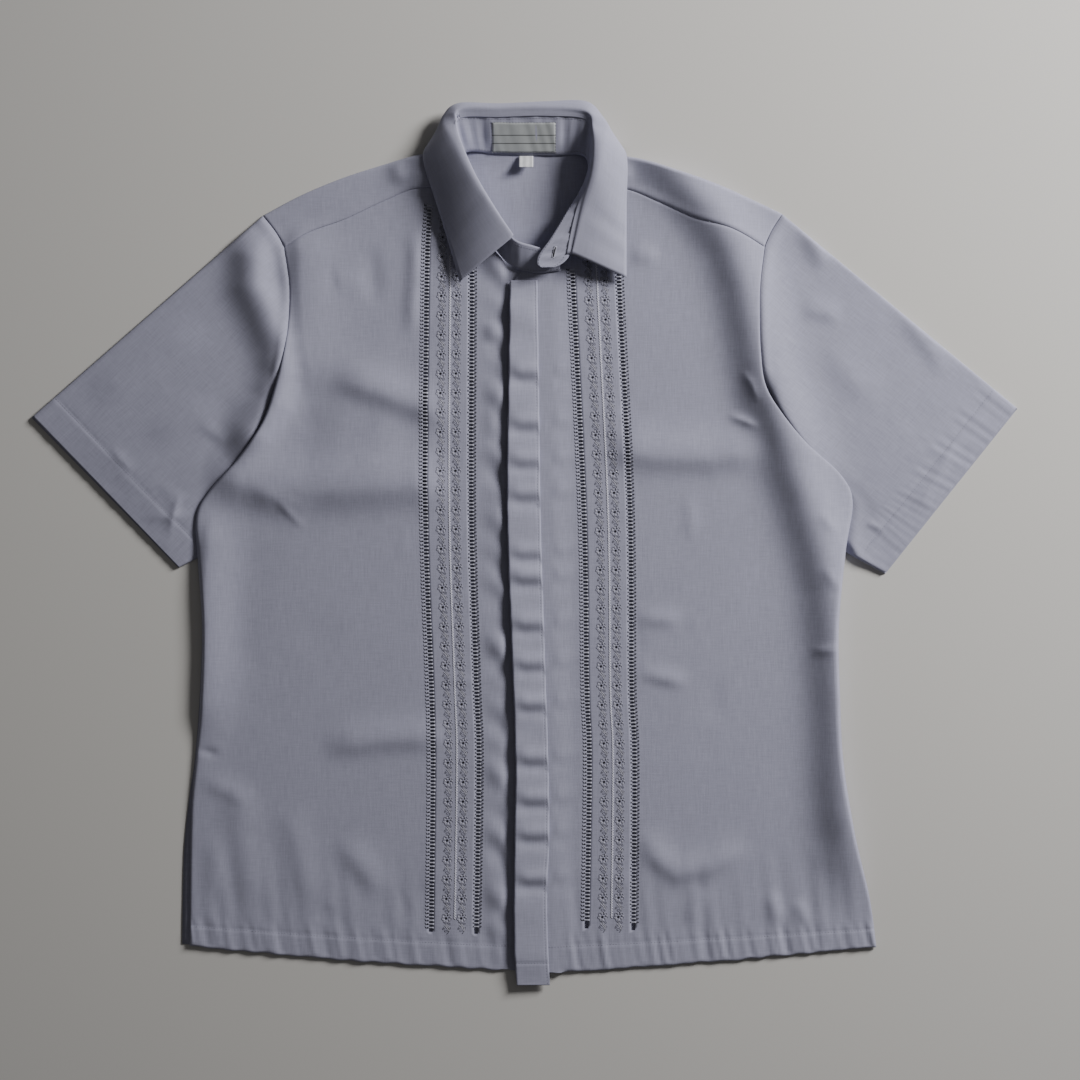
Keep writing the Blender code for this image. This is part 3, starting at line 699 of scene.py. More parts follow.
def repeat_tree():
    """A node tree that repeats an object along the edges of a mesh, turned along them, and realizes it."""
    tree = bpy.data.node_groups.get("Repeat along path")
    if tree is not None:
        return tree
    tree = bpy.data.node_groups.new("Repeat along path", "GeometryNodeTree")
    tree.interface.new_socket(name="Path", in_out="INPUT", socket_type="NodeSocketGeometry")
    socket(tree, "Shape", "NodeSocketObject")
    socket(tree, "Pitch", "NodeSocketFloat", 0.003)
    socket(tree, "Uneven", "NodeSocketFloat", 0.08)
    socket(tree, "Seed", "NodeSocketInt", SEED)
    socket(tree, "Material", "NodeSocketMaterial")
    socket(tree, "One material", "NodeSocketBool", True)
    tree.interface.new_socket(name="Repeat", in_out="OUTPUT", socket_type="NodeSocketGeometry")
    node, link = tree.nodes.new, tree.links.new
    given, result = node("NodeGroupInput"), node("NodeGroupOutput")
    curve, resample = node("GeometryNodeMeshToCurve"), node("GeometryNodeResampleCurve")
    resample.mode = "LENGTH"
    tangent, turn = node("GeometryNodeInputTangent"), node("FunctionNodeAlignRotationToVector")
    turn.axis = "Y"
    shape, instance = node("GeometryNodeObjectInfo"), node("GeometryNodeInstanceOnPoints")
    chance = node("FunctionNodeRandomValue")
    low, high = node("ShaderNodeMath"), node("ShaderNodeMath")
    low.operation, high.operation = "SUBTRACT", "ADD"
    low.inputs[0].default_value = high.inputs[0].default_value = 1
    realize, paint = node("GeometryNodeRealizeInstances"), node("GeometryNodeSetMaterial")
    link(given.outputs["Path"], curve.inputs["Mesh"])
    link(curve.outputs["Curve"], resample.inputs["Curve"])
    link(given.outputs["Pitch"], resample.inputs["Length"])
    link(tangent.outputs["Tangent"], turn.inputs["Vector"])
    link(given.outputs["Shape"], shape.inputs["Object"])
    link(resample.outputs["Curve"], instance.inputs["Points"])
    link(shape.outputs["Geometry"], instance.inputs["Instance"])
    link(turn.outputs["Rotation"], instance.inputs["Rotation"])
    link(given.outputs["Uneven"], low.inputs[1])
    link(given.outputs["Uneven"], high.inputs[1])
    link(low.outputs[0], chance.inputs[2])
    link(high.outputs[0], chance.inputs[3])
    link(given.outputs["Seed"], chance.inputs["Seed"])
    link(chance.outputs[1], instance.inputs["Scale"])
    link(instance.outputs["Instances"], realize.inputs["Geometry"])
    link(realize.outputs["Geometry"], paint.inputs["Geometry"])
    link(given.outputs["Material"], paint.inputs["Material"])
    link(given.outputs["One material"], paint.inputs["Selection"])
    link(paint.outputs["Geometry"], result.inputs["Repeat"])
    return tree


def repeat(name, paths, shape, pitch, material, uneven=0.06, seed=SEED, one_material=True):
    """A plain mesh object of the shape repeated along the paths; the guide and its modifier are removed."""
    tree = repeat_tree()
    guide = path_object(name + "_path", paths)
    modifier = guide.modifiers.new("repeat", "NODES")
    modifier.node_group = tree
    values = {
        "Shape": shape,
        "Pitch": pitch,
        "Uneven": uneven,
        "Seed": seed,
        "Material": material,
        "One material": one_material,
    }
    for item in tree.interface.items_tree:
        if item.item_type == "SOCKET" and item.name in values:
            modifier[item.identifier] = values[item.name]
    evaluated = guide.evaluated_get(bpy.context.evaluated_depsgraph_get())
    mesh = bpy.data.meshes.new_from_object(evaluated)
    mesh.name = name
    bpy.data.objects.remove(guide)
    if not mesh.polygons:
        raise RuntimeError(f"{name}: the repeat made nothing")
    return new_piece(name, mesh)


def declare(obj, replaced=()):
    """Rides a piece on the shirt's body and hides the CAD parts that it stands for."""
    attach(obj, BODY)
    if replaced:
        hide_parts(*replaced)
    return obj


# ---------------------------------------------------------------- materials


def new_material(name, colour, roughness):
    material = bpy.data.materials.new(name)
    material.use_nodes = True
    shader = material.node_tree.nodes["Principled BSDF"]
    shader.inputs["Base Color"].default_value = (*colour, 1)
    shader.inputs["Roughness"].default_value = roughness
    return material, shader


def scaled_noise(tree, vector, scale, detail, size=1.0):
    mapping = tree.nodes.new("ShaderNodeMapping")
    mapping.inputs["Scale"].default_value = scale
    noise = tree.nodes.new("ShaderNodeTexNoise")
    noise.inputs["Scale"].default_value = size
    noise.inputs["Detail"].default_value = detail
    tree.links.new(vector, mapping.inputs["Vector"])
    tree.links.new(mapping.outputs["Vector"], noise.inputs["Vector"])
    return noise.outputs["Fac"]


def thread_wave(tree, vector, pitch, direction):
    """A wave for one set of threads, across or along the grain, a pitch apart."""
    wave = tree.nodes.new("ShaderNodeTexWave")
    wave.bands_direction = direction
    wave.inputs["Scale"].default_value = math.pi / 10 / pitch
    wave.inputs["Distortion"].default_value = 0.0
    tree.links.new(vector, wave.inputs["Vector"])
    return wave.outputs["Fac"]


def math_node(tree, operation, first, second, third=None):
    made = tree.nodes.new("ShaderNodeMath")
    made.operation = operation
    for index, value in enumerate((first, second, third)):
        if value is None:
            continue
        if isinstance(value, (int, float)):
            made.inputs[index].default_value = value
        else:
            tree.links.new(value, made.inputs[index])
    return made.outputs[0]


def mixed_colour(tree, factor, first, second):
    mix = tree.nodes.new("ShaderNodeMix")
    mix.data_type = "RGBA"
    mix.inputs[6].default_value = (*first, 1)
    mix.inputs[7].default_value = (*second, 1)
    tree.links.new(factor, mix.inputs[0])
    return mix.outputs[2]


def add_bump(tree, shader, height, strength, distance):
    bump = tree.nodes.new("ShaderNodeBump")
    bump.inputs["Strength"].default_value = strength
    bump.inputs["Distance"].default_value = distance
    tree.links.new(height, bump.inputs["Height"])
    tree.links.new(bump.outputs["Normal"], shader.inputs["Normal"])


def tones(colour, spread):
    """The colour a little darker, and a little lighter."""
    return [tuple(min(value * (1 + way * spread), 1) for value in colour) for way in (-1, 1)]


def grain_vector(tree):
    grain = tree.nodes.new("ShaderNodeUVMap")
    grain.uv_map = "grain"
    return grain.outputs["UV"]


def cloth_material(name, colour, slubs=1.0, roughness=0.85):
    """Plain weave with slubbed warp threads, finer weft streaks and slow changes of tone."""
    material, shader = new_material(name, colour, roughness)
    tree = material.node_tree
    vector = grain_vector(tree)
    warp = scaled_noise(tree, vector, (850, 60, 1), 2)
    weft = scaled_noise(tree, vector, (70, 850, 1), 2)
    wide = scaled_noise(tree, vector, (260, 14, 1), 2)
    mottle = scaled_noise(tree, vector, (14, 14, 1), 3)
    streaks = math_node(tree, "MULTIPLY_ADD", warp, 0.45, math_node(tree, "MULTIPLY", weft, 0.35))
    tone = math_node(tree, "MULTIPLY_ADD", wide, 0.12, streaks)
    tone = math_node(tree, "MULTIPLY_ADD", mottle, 0.12, tone)
    spread = math_node(tree, "MULTIPLY_ADD", tone, 1.8 * slubs, 0.5 - 0.94 * slubs)
    tree.links.new(mixed_colour(tree, spread, *tones(colour, 0.2)), shader.inputs["Base Color"])
    pitch = sizes().weave
    up = thread_wave(tree, vector, pitch, "X")
    over = thread_wave(tree, vector, pitch * 1.15, "Y")
    weave = math_node(tree, "MAXIMUM", up, over)
    height = math_node(tree, "MULTIPLY_ADD", weave, 0.35, streaks)
    add_bump(tree, shader, height, 0.35, 0.00035)
    shader.inputs["Specular IOR Level"].default_value = 0.25
    shader.inputs["Sheen Weight"].default_value = 0.12
    shader.inputs["Sheen Roughness"].default_value = 0.45
    return material


def thread_material(name, colour, roughness=0.6):
    """Twisted thread: fine bands and a slight change of tone."""
    material, shader = new_material(name, colour, roughness)
    tree = material.node_tree
    place = tree.nodes.new("ShaderNodeTexCoord").outputs["Object"]
    tone = scaled_noise(tree, place, (260, 260, 260), 2)
    tree.links.new(mixed_colour(tree, tone, *tones(colour, 0.2)), shader.inputs["Base Color"])
    add_bump(tree, shader, scaled_noise(tree, place, (1800, 1800, 1800), 1), 0.4, 0.0001)
    shader.inputs["Sheen Weight"].default_value = 0.1
    return material


def label_material(name, colour):
    """Satin ribbon with a fine weft rib and two darker woven lines."""
    material, shader = new_material(name, colour, 0.55)
    tree = material.node_tree
    vector = grain_vector(tree)
    rib = thread_wave(tree, vector, 0.0006, "Y")
    patch = scaled_noise(tree, vector, (160, 90, 1), 3)
    split = tree.nodes.new("ShaderNodeSeparateXYZ")
    tree.links.new(vector, split.inputs[0])
    lines = None
    for height in LABEL_LINES:
        gap = math_node(tree, "SUBTRACT", split.outputs["Y"], height * MM)
        gap = math_node(tree, "ABSOLUTE", gap, 0)
        line = math_node(tree, "LESS_THAN", gap, 0.0004)
        lines = line if lines is None else math_node(tree, "MAXIMUM", lines, line)
    tone = mixed_colour(tree, patch, *tones(colour, 0.15))
    mix = tree.nodes.new("ShaderNodeMix")
    mix.data_type = "RGBA"
    mix.inputs[7].default_value = (*(c * 0.25 for c in colour), 1)
    tree.links.new(lines, mix.inputs[0])
    tree.links.new(tone, mix.inputs[6])
    tree.links.new(mix.outputs[2], shader.inputs["Base Color"])
    add_bump(tree, shader, rib, 0.3, 0.0001)
    return material


def button_material(name, colour):
    material, shader = new_material(name, colour, 0.3)
    tree = material.node_tree
    place = tree.nodes.new("ShaderNodeTexCoord").outputs["Object"]
    swirl = scaled_noise(tree, place, (120, 380, 120), 3)
    tree.links.new(mixed_colour(tree, swirl, *tones(colour, 0.15)), shader.inputs["Base Color"])
    shader.inputs["Coat Weight"].default_value = 0.3
    return material


def floor_material(name, colour):
    made, shader = new_material(name, colour, 0.9)
    shader.inputs["Specular IOR Level"].default_value = 0.1
    return made


def material(name):
    """A material by its name in the colour settings, made the first time it is asked for."""
    if name not in MATERIALS:
        maker, full_name, tint, more = MAKERS[name]
        MATERIALS[name] = maker(full_name, tuple(getattr(colours(), tint)), **more)
    return MATERIALS[name]


MAKERS = {
    "cloth": (cloth_material, "shirt_cloth", "cloth", {}),
    "collar": (cloth_material, "collar_cloth", "cloth", {"slubs": 0.7, "roughness": 0.8}),
    # The embroidery thread's darkness is painted shade
    "thread": (thread_material, "embroidery_thread", "thread", {}),
    "stitching": (thread_material, "stitching_thread", "stitching", {}),
    # The lighter thread stands in for painted highlights
    "pale": (thread_material, "pale_thread", "pale", {}),
    # The seam thread's darkness is painted shade
    "seam": (thread_material, "seam_thread", "seam", {}),
    # Painted shade for holes that are not cut
    "shade": (thread_material, "eyelet_shade", "shade", {"roughness": 1.0}),
    "label": (label_material, "label_satin", "label", {}),
    "tab": (thread_material, "size_tab_tape", "tab", {"roughness": 0.8}),
    "button": (button_material, "button_resin", "button", {}),
    "floor": (floor_material, "studio_floor", "floor", {}),
}


# ---------------------------------------------------------------- fronts


def shares_of(start, middle, end=()):
    """Shares from 0 to 1: close steps at the ends, and (first, last, count) even ones between them."""
    return np.concatenate([start, np.linspace(*middle), end])


def levels(total, start=EDGE_STEPS, end_band=0.0):
    """Distances down a panel: fine at its ends, wider between."""
    middle = np.arange(start[-1] + CELL, total - end_band - FINE_CELL, CELL)
    band = np.arange(total - end_band, total - start[-1], FINE_CELL) if end_band else np.array([])
    return np.unique(np.round(np.concatenate([start, middle, band, total - np.array(start)]), 3))


def edge_rows(table, end_band):
    """Rows of a front at fine spacing, as an Edge of arrays, with each row's distance from the hem."""
    dense = smoothed(table, 30)
    ends = dense[:, :2], dense[:, 2:4]
    step = sum(np.hypot(*np.diff(end, axis=0).T) for end in ends)
    lengths = np.concatenate([[0], np.cumsum(step / 2)])
    at = levels(lengths[-1], end_band=end_band)
    rows = np.stack([np.interp(at, lengths, dense[:, column]) for column in range(dense.shape[1])], axis=1)
    return Edge(*rows.T), at, lengths[-1] - at


def ladder_x(ladder, y):
    places = smoothed(ladder.places, 8)[::-1]
    return np.interp(y, places[:, 1], places[:, 0])


def column_shares(rows, ladders):
    """Shares across each row for every column, with a pair of columns on each ladder's edges."""
    half = sizes().ladder / MM / 2
    count = len(rows.side_x)
    breaks = [np.zeros(count)]
    order = sorted(ladders, key=lambda ladder: abs(ladder.places[2][0]), reverse=True)
    for ladder in order:
        for edge in (-half, half) if rows.side_x[0] < 0 else (half, -half):
            share = np.full(count, 0.7)
            for _ in range(4):
                y = bowed(rows.side_y, rows.open_y, rows.bow, share)
                share = (ladder_x(ladder, y) + edge - rows.side_x) / (rows.open_x - rows.side_x)
            breaks.append(share)
    most = 0.995 - 0.006 * np.arange(len(breaks) - 1, 0, -1)
    breaks[1:] = [np.minimum(share, limit) for share, limit in zip(breaks[1:], most)]
    breaks.append(np.ones(count))
    width = np.abs(rows.open_x - rows.side_x)
    columns, slots = [], []
    for index, (low, high) in enumerate(zip(breaks, breaks[1:])):
        cells = max(int(np.max((high - low) * width) / CELL), 2)
        if index % 2:
            slots.append(len(columns))
            columns.append(low)
        elif index:
            columns += [low + (high - low) * fraction for fraction in np.linspace(0, 1, cells + 1)[:-1]]
        else:
            columns += [step / width for step in EDGE_STEPS]
            last = columns[-1]
            columns += [last + (high - last) * fraction for fraction in np.linspace(0, 1, cells)[1:-1]]
    columns.append(np.ones(count))
    return np.stack(columns, axis=1), slots, order


def band_wave(y, centre):
    """One pucker across the placket: a ridge with a trough below it."""
    return bell(y - centre - 4, 7) - 0.8 * bell(y - centre + 6, 6)


def hem_height(from_hem, x, seed):
    """Turned hem: a thicker band, a row of stitches pulled in, and small puckers."""
    band = HEM_BAND * (1 - ease((from_hem - HEM) / 1.6))
    pulled = -HEM_PULL * bell(from_hem - HEM, 1.6)
    near = ease(from_hem / 5) * (1 - ease((from_hem - HEM - 1) / 14))
    pucker = HEM_PUCKER * wander(x + 0.2 * from_hem, seed, 36, 5) * near
    return band + pulled + pucker


def strip_ripple(y, past, is_left, seed):
    """Puckers of the strip beside the placket, dying out past it."""
    if is_left:
        bands = sum(band_wave(y - 0.2 * past, centre) for centre in PLACKET_BANDS)
        return 0.75 * bands * bell(past, 17)
    return (0.8 + 2.5 * wander(y - 0.3 * past, seed + 9, 116, 4)) * bell(past - 9, 11)


def seam_swing(x, is_left):
    places = smoothed(LEFT_SWING if is_left else RIGHT_SWING, 8)
    return np.interp(x, places[:, 0], places[:, 1])


def build_front(name, table, ladders, is_left, seed):
    """A front with its slots open, its surface, and its row of points at the top of the hem."""
    rows, from_top, from_hem = edge_rows(table, HEM + 6)
    shares, slots, order = column_shares(rows, ladders)
    row = Edge(*(values[:, None] * np.ones_like(shares) for values in rows))
    from_top, from_bottom = (given[:, None] * np.ones_like(shares) for given in (from_top, from_hem))
    x = row.side_x + (row.open_x - row.side_x) * shares
    y = bowed(row.side_y, row.open_y, row.bow, shares)
    y = y + HEM_WAVE * wander(x, seed + 5, 120) * (1 - ease(from_bottom / 30))
    y = y + seam_swing(x, is_left) * ease(1 - from_top / SWING_REACH)
    inside = shares * np.abs(row.open_x - row.side_x)
    creases = crease_height(x, y)
    lift = row.lift * bell(inside, RIM_SPREAD)
    flutes = 0.8 * wander(x + 0.1 * y, seed + 3, 85, 6) * ease((120 - from_bottom) / 100)
    height = TOP_LAYER + creases + lift + flutes + hem_height(from_bottom, x, seed)
    strip, past, bottom = RIGHT_STRIP, RIGHT_STRIP_START - x, 1.5
    if is_left:
        strip, past, bottom = LEFT_STRIP, x - LEFT_STRIP_END, 1.6
    free = ease(past / STRIP_BLEND)
    ripple = strip_ripple(y, past, is_left, seed) * ease(from_bottom / 40)
    height = strip + (height - strip) * free + neck_height(x, y) * free + ripple * ease(past / 7)
    height = height - 1.0 * bell(from_top, 1.3)
    rim = row.rim + creases * ease((y - 30) / 40)
    height = rim + (height - rim) * turned(inside, row.reach)
    low = np.where(free > 0.5, bottom, strip)
    height = low + (height - low) * turned(from_bottom, 2.4)
    points = np.stack([x, y, np.maximum(height, LOWEST_TOP)], axis=-1)
    skip = np.zeros((len(from_hem) - 1, shares.shape[1] - 1), bool)
    for column, ladder in zip(slots, order):
        middle = y[:-1, column]
        width = np.abs(x[:-1, column + 1] - x[:-1, column])
        skip[(middle < ladder.top) & (middle > ladder.bottom) & (width > 2.5), column] = True
    obj = grid_object(name, points, material("cloth"), skip=skip)
    return obj, points, points[int(np.argmin(np.abs(from_hem - HEM)))]


class BARONG_OT_fronts(bpy.types.Operator):
    """Builds both fronts, with an open slot along each drawn-thread ladder"""

    bl_idname = "barong.fronts"
    bl_label = "Fronts"

    def execute(self, context):
        for side, table, ladders, seed in (
            ("right", RIGHT_FRONT, (RIGHT_OUTER, RIGHT_INNER), 21),
            ("left", LEFT_FRONT, (LEFT_OUTER, LEFT_INNER), 22),
        ):
            node = "front_" + side
            obj, points, hem = build_front(node + "_cloth", table, ladders, side == "left", seed)
            SURFACES[node] = surface_tree(points)
            SEAMS["hem_" + side] = hem
            declare(obj, (node,))
        return {"FINISHED"}


# ---------------------------------------------------------------- yoke and back


def armhole_line(table, tip):
    """The armhole from the shoulder tip to the underarm."""
    corner = np.array(table[0][:2], float)
    bend = ((tip[0] + corner[0]) / 2 + math.copysign(1.5, -corner[0]), (tip[1] + corner[1]) / 2)
    dense = smoothed(table, 30)[: ARMHOLE_ROWS * 30 + 1, :2]
    return np.vstack([smoothed([tip, bend, corner], 8)[:-1], dense])


def shoulder_part(table, fold_line, tip, is_left):
    """Columns of the yoke on one side: front seam, shoulder fold, lower layer to the back seam."""
    first = Edge(*table[0])
    shares = shares_of((0, 0.003, 0.008, 0.015), (0.025, 1, 62))
    seam_x = first.side_x + (first.open_x - first.side_x) * shares
    seam_y = bowed(first.side_y, first.open_y, first.bow, shares) + seam_swing(seam_x, is_left)
    seam = np.stack([seam_x, seam_y], axis=-1)
    fold = along(smoothed(fold_line, 8), shares)
    armhole = armhole_line(table, tip)
    run = seam - fold
    length = np.linalg.norm(run, axis=1)[:, None]
    seam = seam + run / length * 0.7
    ups = shares_of((0, 0.012, 0.03, 0.06, 0.1), (0.15, 0.82, 10), (0.86, 0.9, 0.94, 0.97, 0.99, 1))
    upper = seam[None] + (fold - seam)[None] * ups[:, None, None]
    bend_x = armhole[8, 0] - (tip[0] + first.side_x) / 2
    upper[..., 0] += 4 * bend_x * (ups * (1 - ups))[:, None] * (1 - shares)[None] ** 3
    x, y = upper[..., 0], upper[..., 1]
    from_seam, from_fold = ups[:, None] * length.T, (1 - ups)[:, None] * length.T
    inside = shares[None] * np.linalg.norm(seam[-1] - seam[0]) * np.ones_like(x)
    creases = crease_height(x, y)
    height = TOP_LAYER + 0.15 + creases + neck_height(x, y) * ease(from_fold / 14)
    height = height - 0.5 * bell(from_seam, 0.9) + 0.35 * bell(from_seam - 3, 3)
    rim = 1.7 + creases
    height = rim + (height - rim) * turned(inside, 2.0)
    height = FOLD_EDGE + (height - FOLD_EDGE) * turned(from_fold, FOLD_REACH)
    upper = np.stack([x, y, height], axis=-1)
    downs = shares_of((0.012, 0.03, 0.07), (0.12, 1, 16))[:, None]
    side_x = np.interp(downs * (tip[1] - BACK_SEAM_Y), tip[1] - armhole[:, 1], armhole[:, 0])
    lower_x = side_x + (fold_line[-1][0] - side_x) * shares[None]
    lower_x[:3] = fold[None, :, 0]
    depth = (fold[None, :, 1] - BACK_SEAM_Y) * downs
    lower_z = FOLD_EDGE - (FOLD_EDGE - LOW_LAYER) * turned(depth, FOLD_REACH)
    lower = np.stack([lower_x, fold[None, :, 1] - depth, lower_z], axis=-1)
    part = np.concatenate([upper, lower], axis=0)
    return part[:, ::-1] if is_left else part


def neck_part():
    """The yoke's lower layer between the shoulders, seen through the neck."""
    edge = smoothed(BACK_NECK, 9)
    shares = np.linspace(0, 1, 36)
    x = np.ones_like(shares)[:, None] * edge[None, :, 0]
    y = edge[None, :, 1] + (BACK_SEAM_Y - edge[None, :, 1]) * shares[:, None]
    raised = 1.9 * bell(edge[None, :, 1] - y, 9) * ease((62 - np.abs(x)) / 20)
    wave = 0.3 + 0.25 * wander(x + 0.2 * y, 5, 70, 5)
    height = LOW_LAYER + raised + wave * ease((60 - np.abs(x)) / 20) * ease((y - 262) / 20)
    return np.stack([x, y, height], axis=-1)


class BARONG_OT_yoke_and_back(bpy.types.Operator):
    """Builds the yoke over the shoulders and the back panel under the fronts"""

    bl_idname = "barong.yoke_and_back"
    bl_label = "Yoke and back"

    def execute(self, context):
        parts = [
            shoulder_part(RIGHT_FRONT, RIGHT_SHOULDER, RIGHT_TIP, False),
            neck_part(),
            shoulder_part(LEFT_FRONT, LEFT_SHOULDER, LEFT_TIP, True),
        ]
        made = [grid_object(f"yoke_part_{i}", part, material("cloth")) for i, part in enumerate(parts)]
        for obj in made:
            obj.modifiers.clear()
        yoke = joined("yoke_cloth", made)
        thicken(yoke)
        declare(yoke, ("yoke",))
        back = build_back()
        declare(back, ("back",))
        return {"FINISHED"}


def joined(name, objects):
    """One object of several, with the points they share merged."""
    shape = bmesh.new()
    for obj in objects:
        shape.from_mesh(obj.data)
    bmesh.ops.remove_doubles(shape, verts=shape.verts, dist=0.00015)
    bmesh.ops.recalc_face_normals(shape, faces=shape.faces)
    mesh = mesh_of(name, shape)
    mesh.shade_smooth()
    for given in objects[0].data.materials:
        mesh.materials.append(given)
    for obj in objects:
        bpy.data.objects.remove(obj)
    return new_piece(name, mesh)


def build_back():
    """The back panel below the yoke, with the front's creases showing faintly the other way round."""
    right = np.vstack([armhole_line(RIGHT_FRONT, RIGHT_TIP)[8:], smoothed(RIGHT_BACK_SIDE, 6)[1:]])
    left = np.vstack([armhole_line(LEFT_FRONT, LEFT_TIP)[8:], smoothed(LEFT_BACK_SIDE, 6)[1:]])
    right, left = (side[side[:, 1] < BACK_SEAM_Y - 0.4] for side in (right, left))
    shares = np.linspace(0, 1, 130)
    start, end = along(right, shares), along(left, shares)
    down, across = shares[:, None], np.linspace(0, 1, 90)
    x = start[:, :1] + (end[:, :1] - start[:, :1]) * across
    y = start[:, 1:] + (end[:, 1:] - start[:, 1:]) * across
    y = y + BACK_HEM_BOW * ease((down - 0.6) / 0.4) * 4 * across * (1 - across)
    from_sides = ease(across * (1 - across) * 14) * ease((0.9 - down) / 0.1)
    height = LOW_LAYER + 0.12 * ease((down - 0.94) / 0.02)
    height = height + np.clip(0.12 * crease_height(-x, y), 0, 0.35) * from_sides
    return grid_object("back_cloth", np.stack([x, y, height], axis=-1), material("cloth"))


# ---------------------------------------------------------------- sleeves


def outward(points, away):
    """Unit normals of a line in plan, on the side that faces away."""
    tangents = np.gradient(points, axis=0)
    normals = np.stack([tangents[:, 1], -tangents[:, 0]], axis=1)
    normals /= np.linalg.norm(normals, axis=1)[:, None]
    flip = np.sign((normals * np.array(away)).sum(axis=1))[:, None]
    return normals * np.where(flip == 0, 1, flip)


def build_sleeve(name, table, tip, cuff, seed):
    """A flattened tube from the armhole to the cuff, and the places of its hem stitches."""
    side = math.copysign(1, cuff.over_x)
    armhole = armhole_line(table, tip)
    shares = shares_of((0, 0.0015, 0.004, 0.008), (0.013, 0.987, 118), (0.992, 0.996, 0.9985, 1))
    start = along(armhole, shares)
    under_body = ease((shares - 0.42) / 0.12)
    tucked = SEAM_GAP - SLEEVE_TUCK * under_body * ease((1 - shares) / 0.04)
    start = start + outward(start, (side, -0.35)) * tucked[:, None]
    over, under = np.array(cuff[:2]), np.array(cuff[2:])
    end = over + (under - over) * shares[:, None]
    length = np.linalg.norm(end - start, axis=1)
    by_cuff = (*np.linspace(0.88, 0.985, 20), 0.992, 1)
    steps = shares_of((0, 0.003, 0.008, 0.016, 0.028), (0.04, 0.87, 66), by_cuff)[:, None]
    plan = start[None] + (end - start)[None] * steps[..., None]
    x, y = plan[..., 0], plan[..., 1]
    width = np.linalg.norm(plan[:, -1] - plan[:, 0], axis=-1)[:, None]
    from_over, from_under = shares[None] * width, (1 - shares[None]) * width
    from_seam, from_cuff = steps * length[None], (1 - steps) * length[None]
    height = TOP_LAYER + crease_height(x, y) * ease(from_cuff / 10 + 0.3)
    crown = np.sin(math.pi * shares)[None]
    height += SLEEVE_CROWN * crown * ease(from_seam / 60) * ease(from_cuff / 50 + 0.2)
    band = CUFF_BAND * (1 - ease((from_cuff - CUFF_HEM) / 1.2)) - CUFF_PULL * bell(from_cuff - CUFF_HEM, 1.4)
    height += band + 0.3 * wander(shares * 190, seed, 40, 5)[None] * (1 - ease((from_cuff - 34) / 10))
    puffed, dipped = 0.9 * bell(from_seam - 5, 4), 0.8 * bell(from_seam, 1.4)
    height += puffed * (1 - under_body)[None] - dipped * (1 - under_body)[None]
    height = height + (1.7 - height) * (under_body[None] * bell(from_seam, 9))
    rounded = turned(np.minimum(from_over, from_under * 2), FOLD_REACH)
    upper = FOLD_EDGE + (height - FOLD_EDGE) * rounded
    lower = FOLD_EDGE - (FOLD_EDGE - LOW_LAYER) * rounded
    grow = (end - start) / length[:, None]
    peek = np.where(steps > 0.95, 1.3 * (steps - 0.95) / 0.05, 0)
    top = np.stack([x, y, np.maximum(upper, FOLD_EDGE * 0.9)], axis=-1)
    bottom = np.stack([x + grow[None, :, 0] * peek, y + grow[None, :, 1] * peek, lower], axis=-1)
    ring = np.concatenate([top, bottom[:, ::-1][:, 1:-1]], axis=1)
    along_cuff = (end[-1] - end[0]) / np.linalg.norm(end[-1] - end[0])
    to_cuff = np.array([-along_cuff[1], along_cuff[0]])
    grain = np.stack([ring[..., :2] @ along_cuff, ring[..., :2] @ to_cuff], axis=-1)
    obj = grid_object(name, ring, material("cloth"), grain=grain, closed=True)
    stitch_places = []
    for column in range(4, len(shares) - 8):
        if length[column] > CUFF_HEM + 2:
            at = np.interp(length[column] - CUFF_HEM, from_seam[:, column], np.arange(len(steps)))
            low, part = int(at), at - int(at)
            above, below = top[low, column], top[min(low + 1, len(steps) - 1), column]
            stitch_places.append(above * (1 - part) + below * part)
    return obj, np.array(stitch_places)


class BARONG_OT_sleeves(bpy.types.Operator):
    """Builds both sleeves as flattened tubes, with the body's fold lying over their lower half"""

    bl_idname = "barong.sleeves"
    bl_label = "Sleeves"

    def execute(self, context):
        for name, node, table, tip, cuff, seed in (
            ("sleeve_right_cloth", "sleeve_right", RIGHT_FRONT, RIGHT_TIP, RIGHT_CUFF, 31),
            ("sleeve_left_cloth", "sleeve_left", LEFT_FRONT, LEFT_TIP, LEFT_CUFF, 32),
        ):
            obj, places = build_sleeve(name, table, tip, cuff, seed)
            SEAMS["cuff_" + node] = places
            declare(obj, (node,))
        return {"FINISHED"}


# ---------------------------------------------------------------- placket


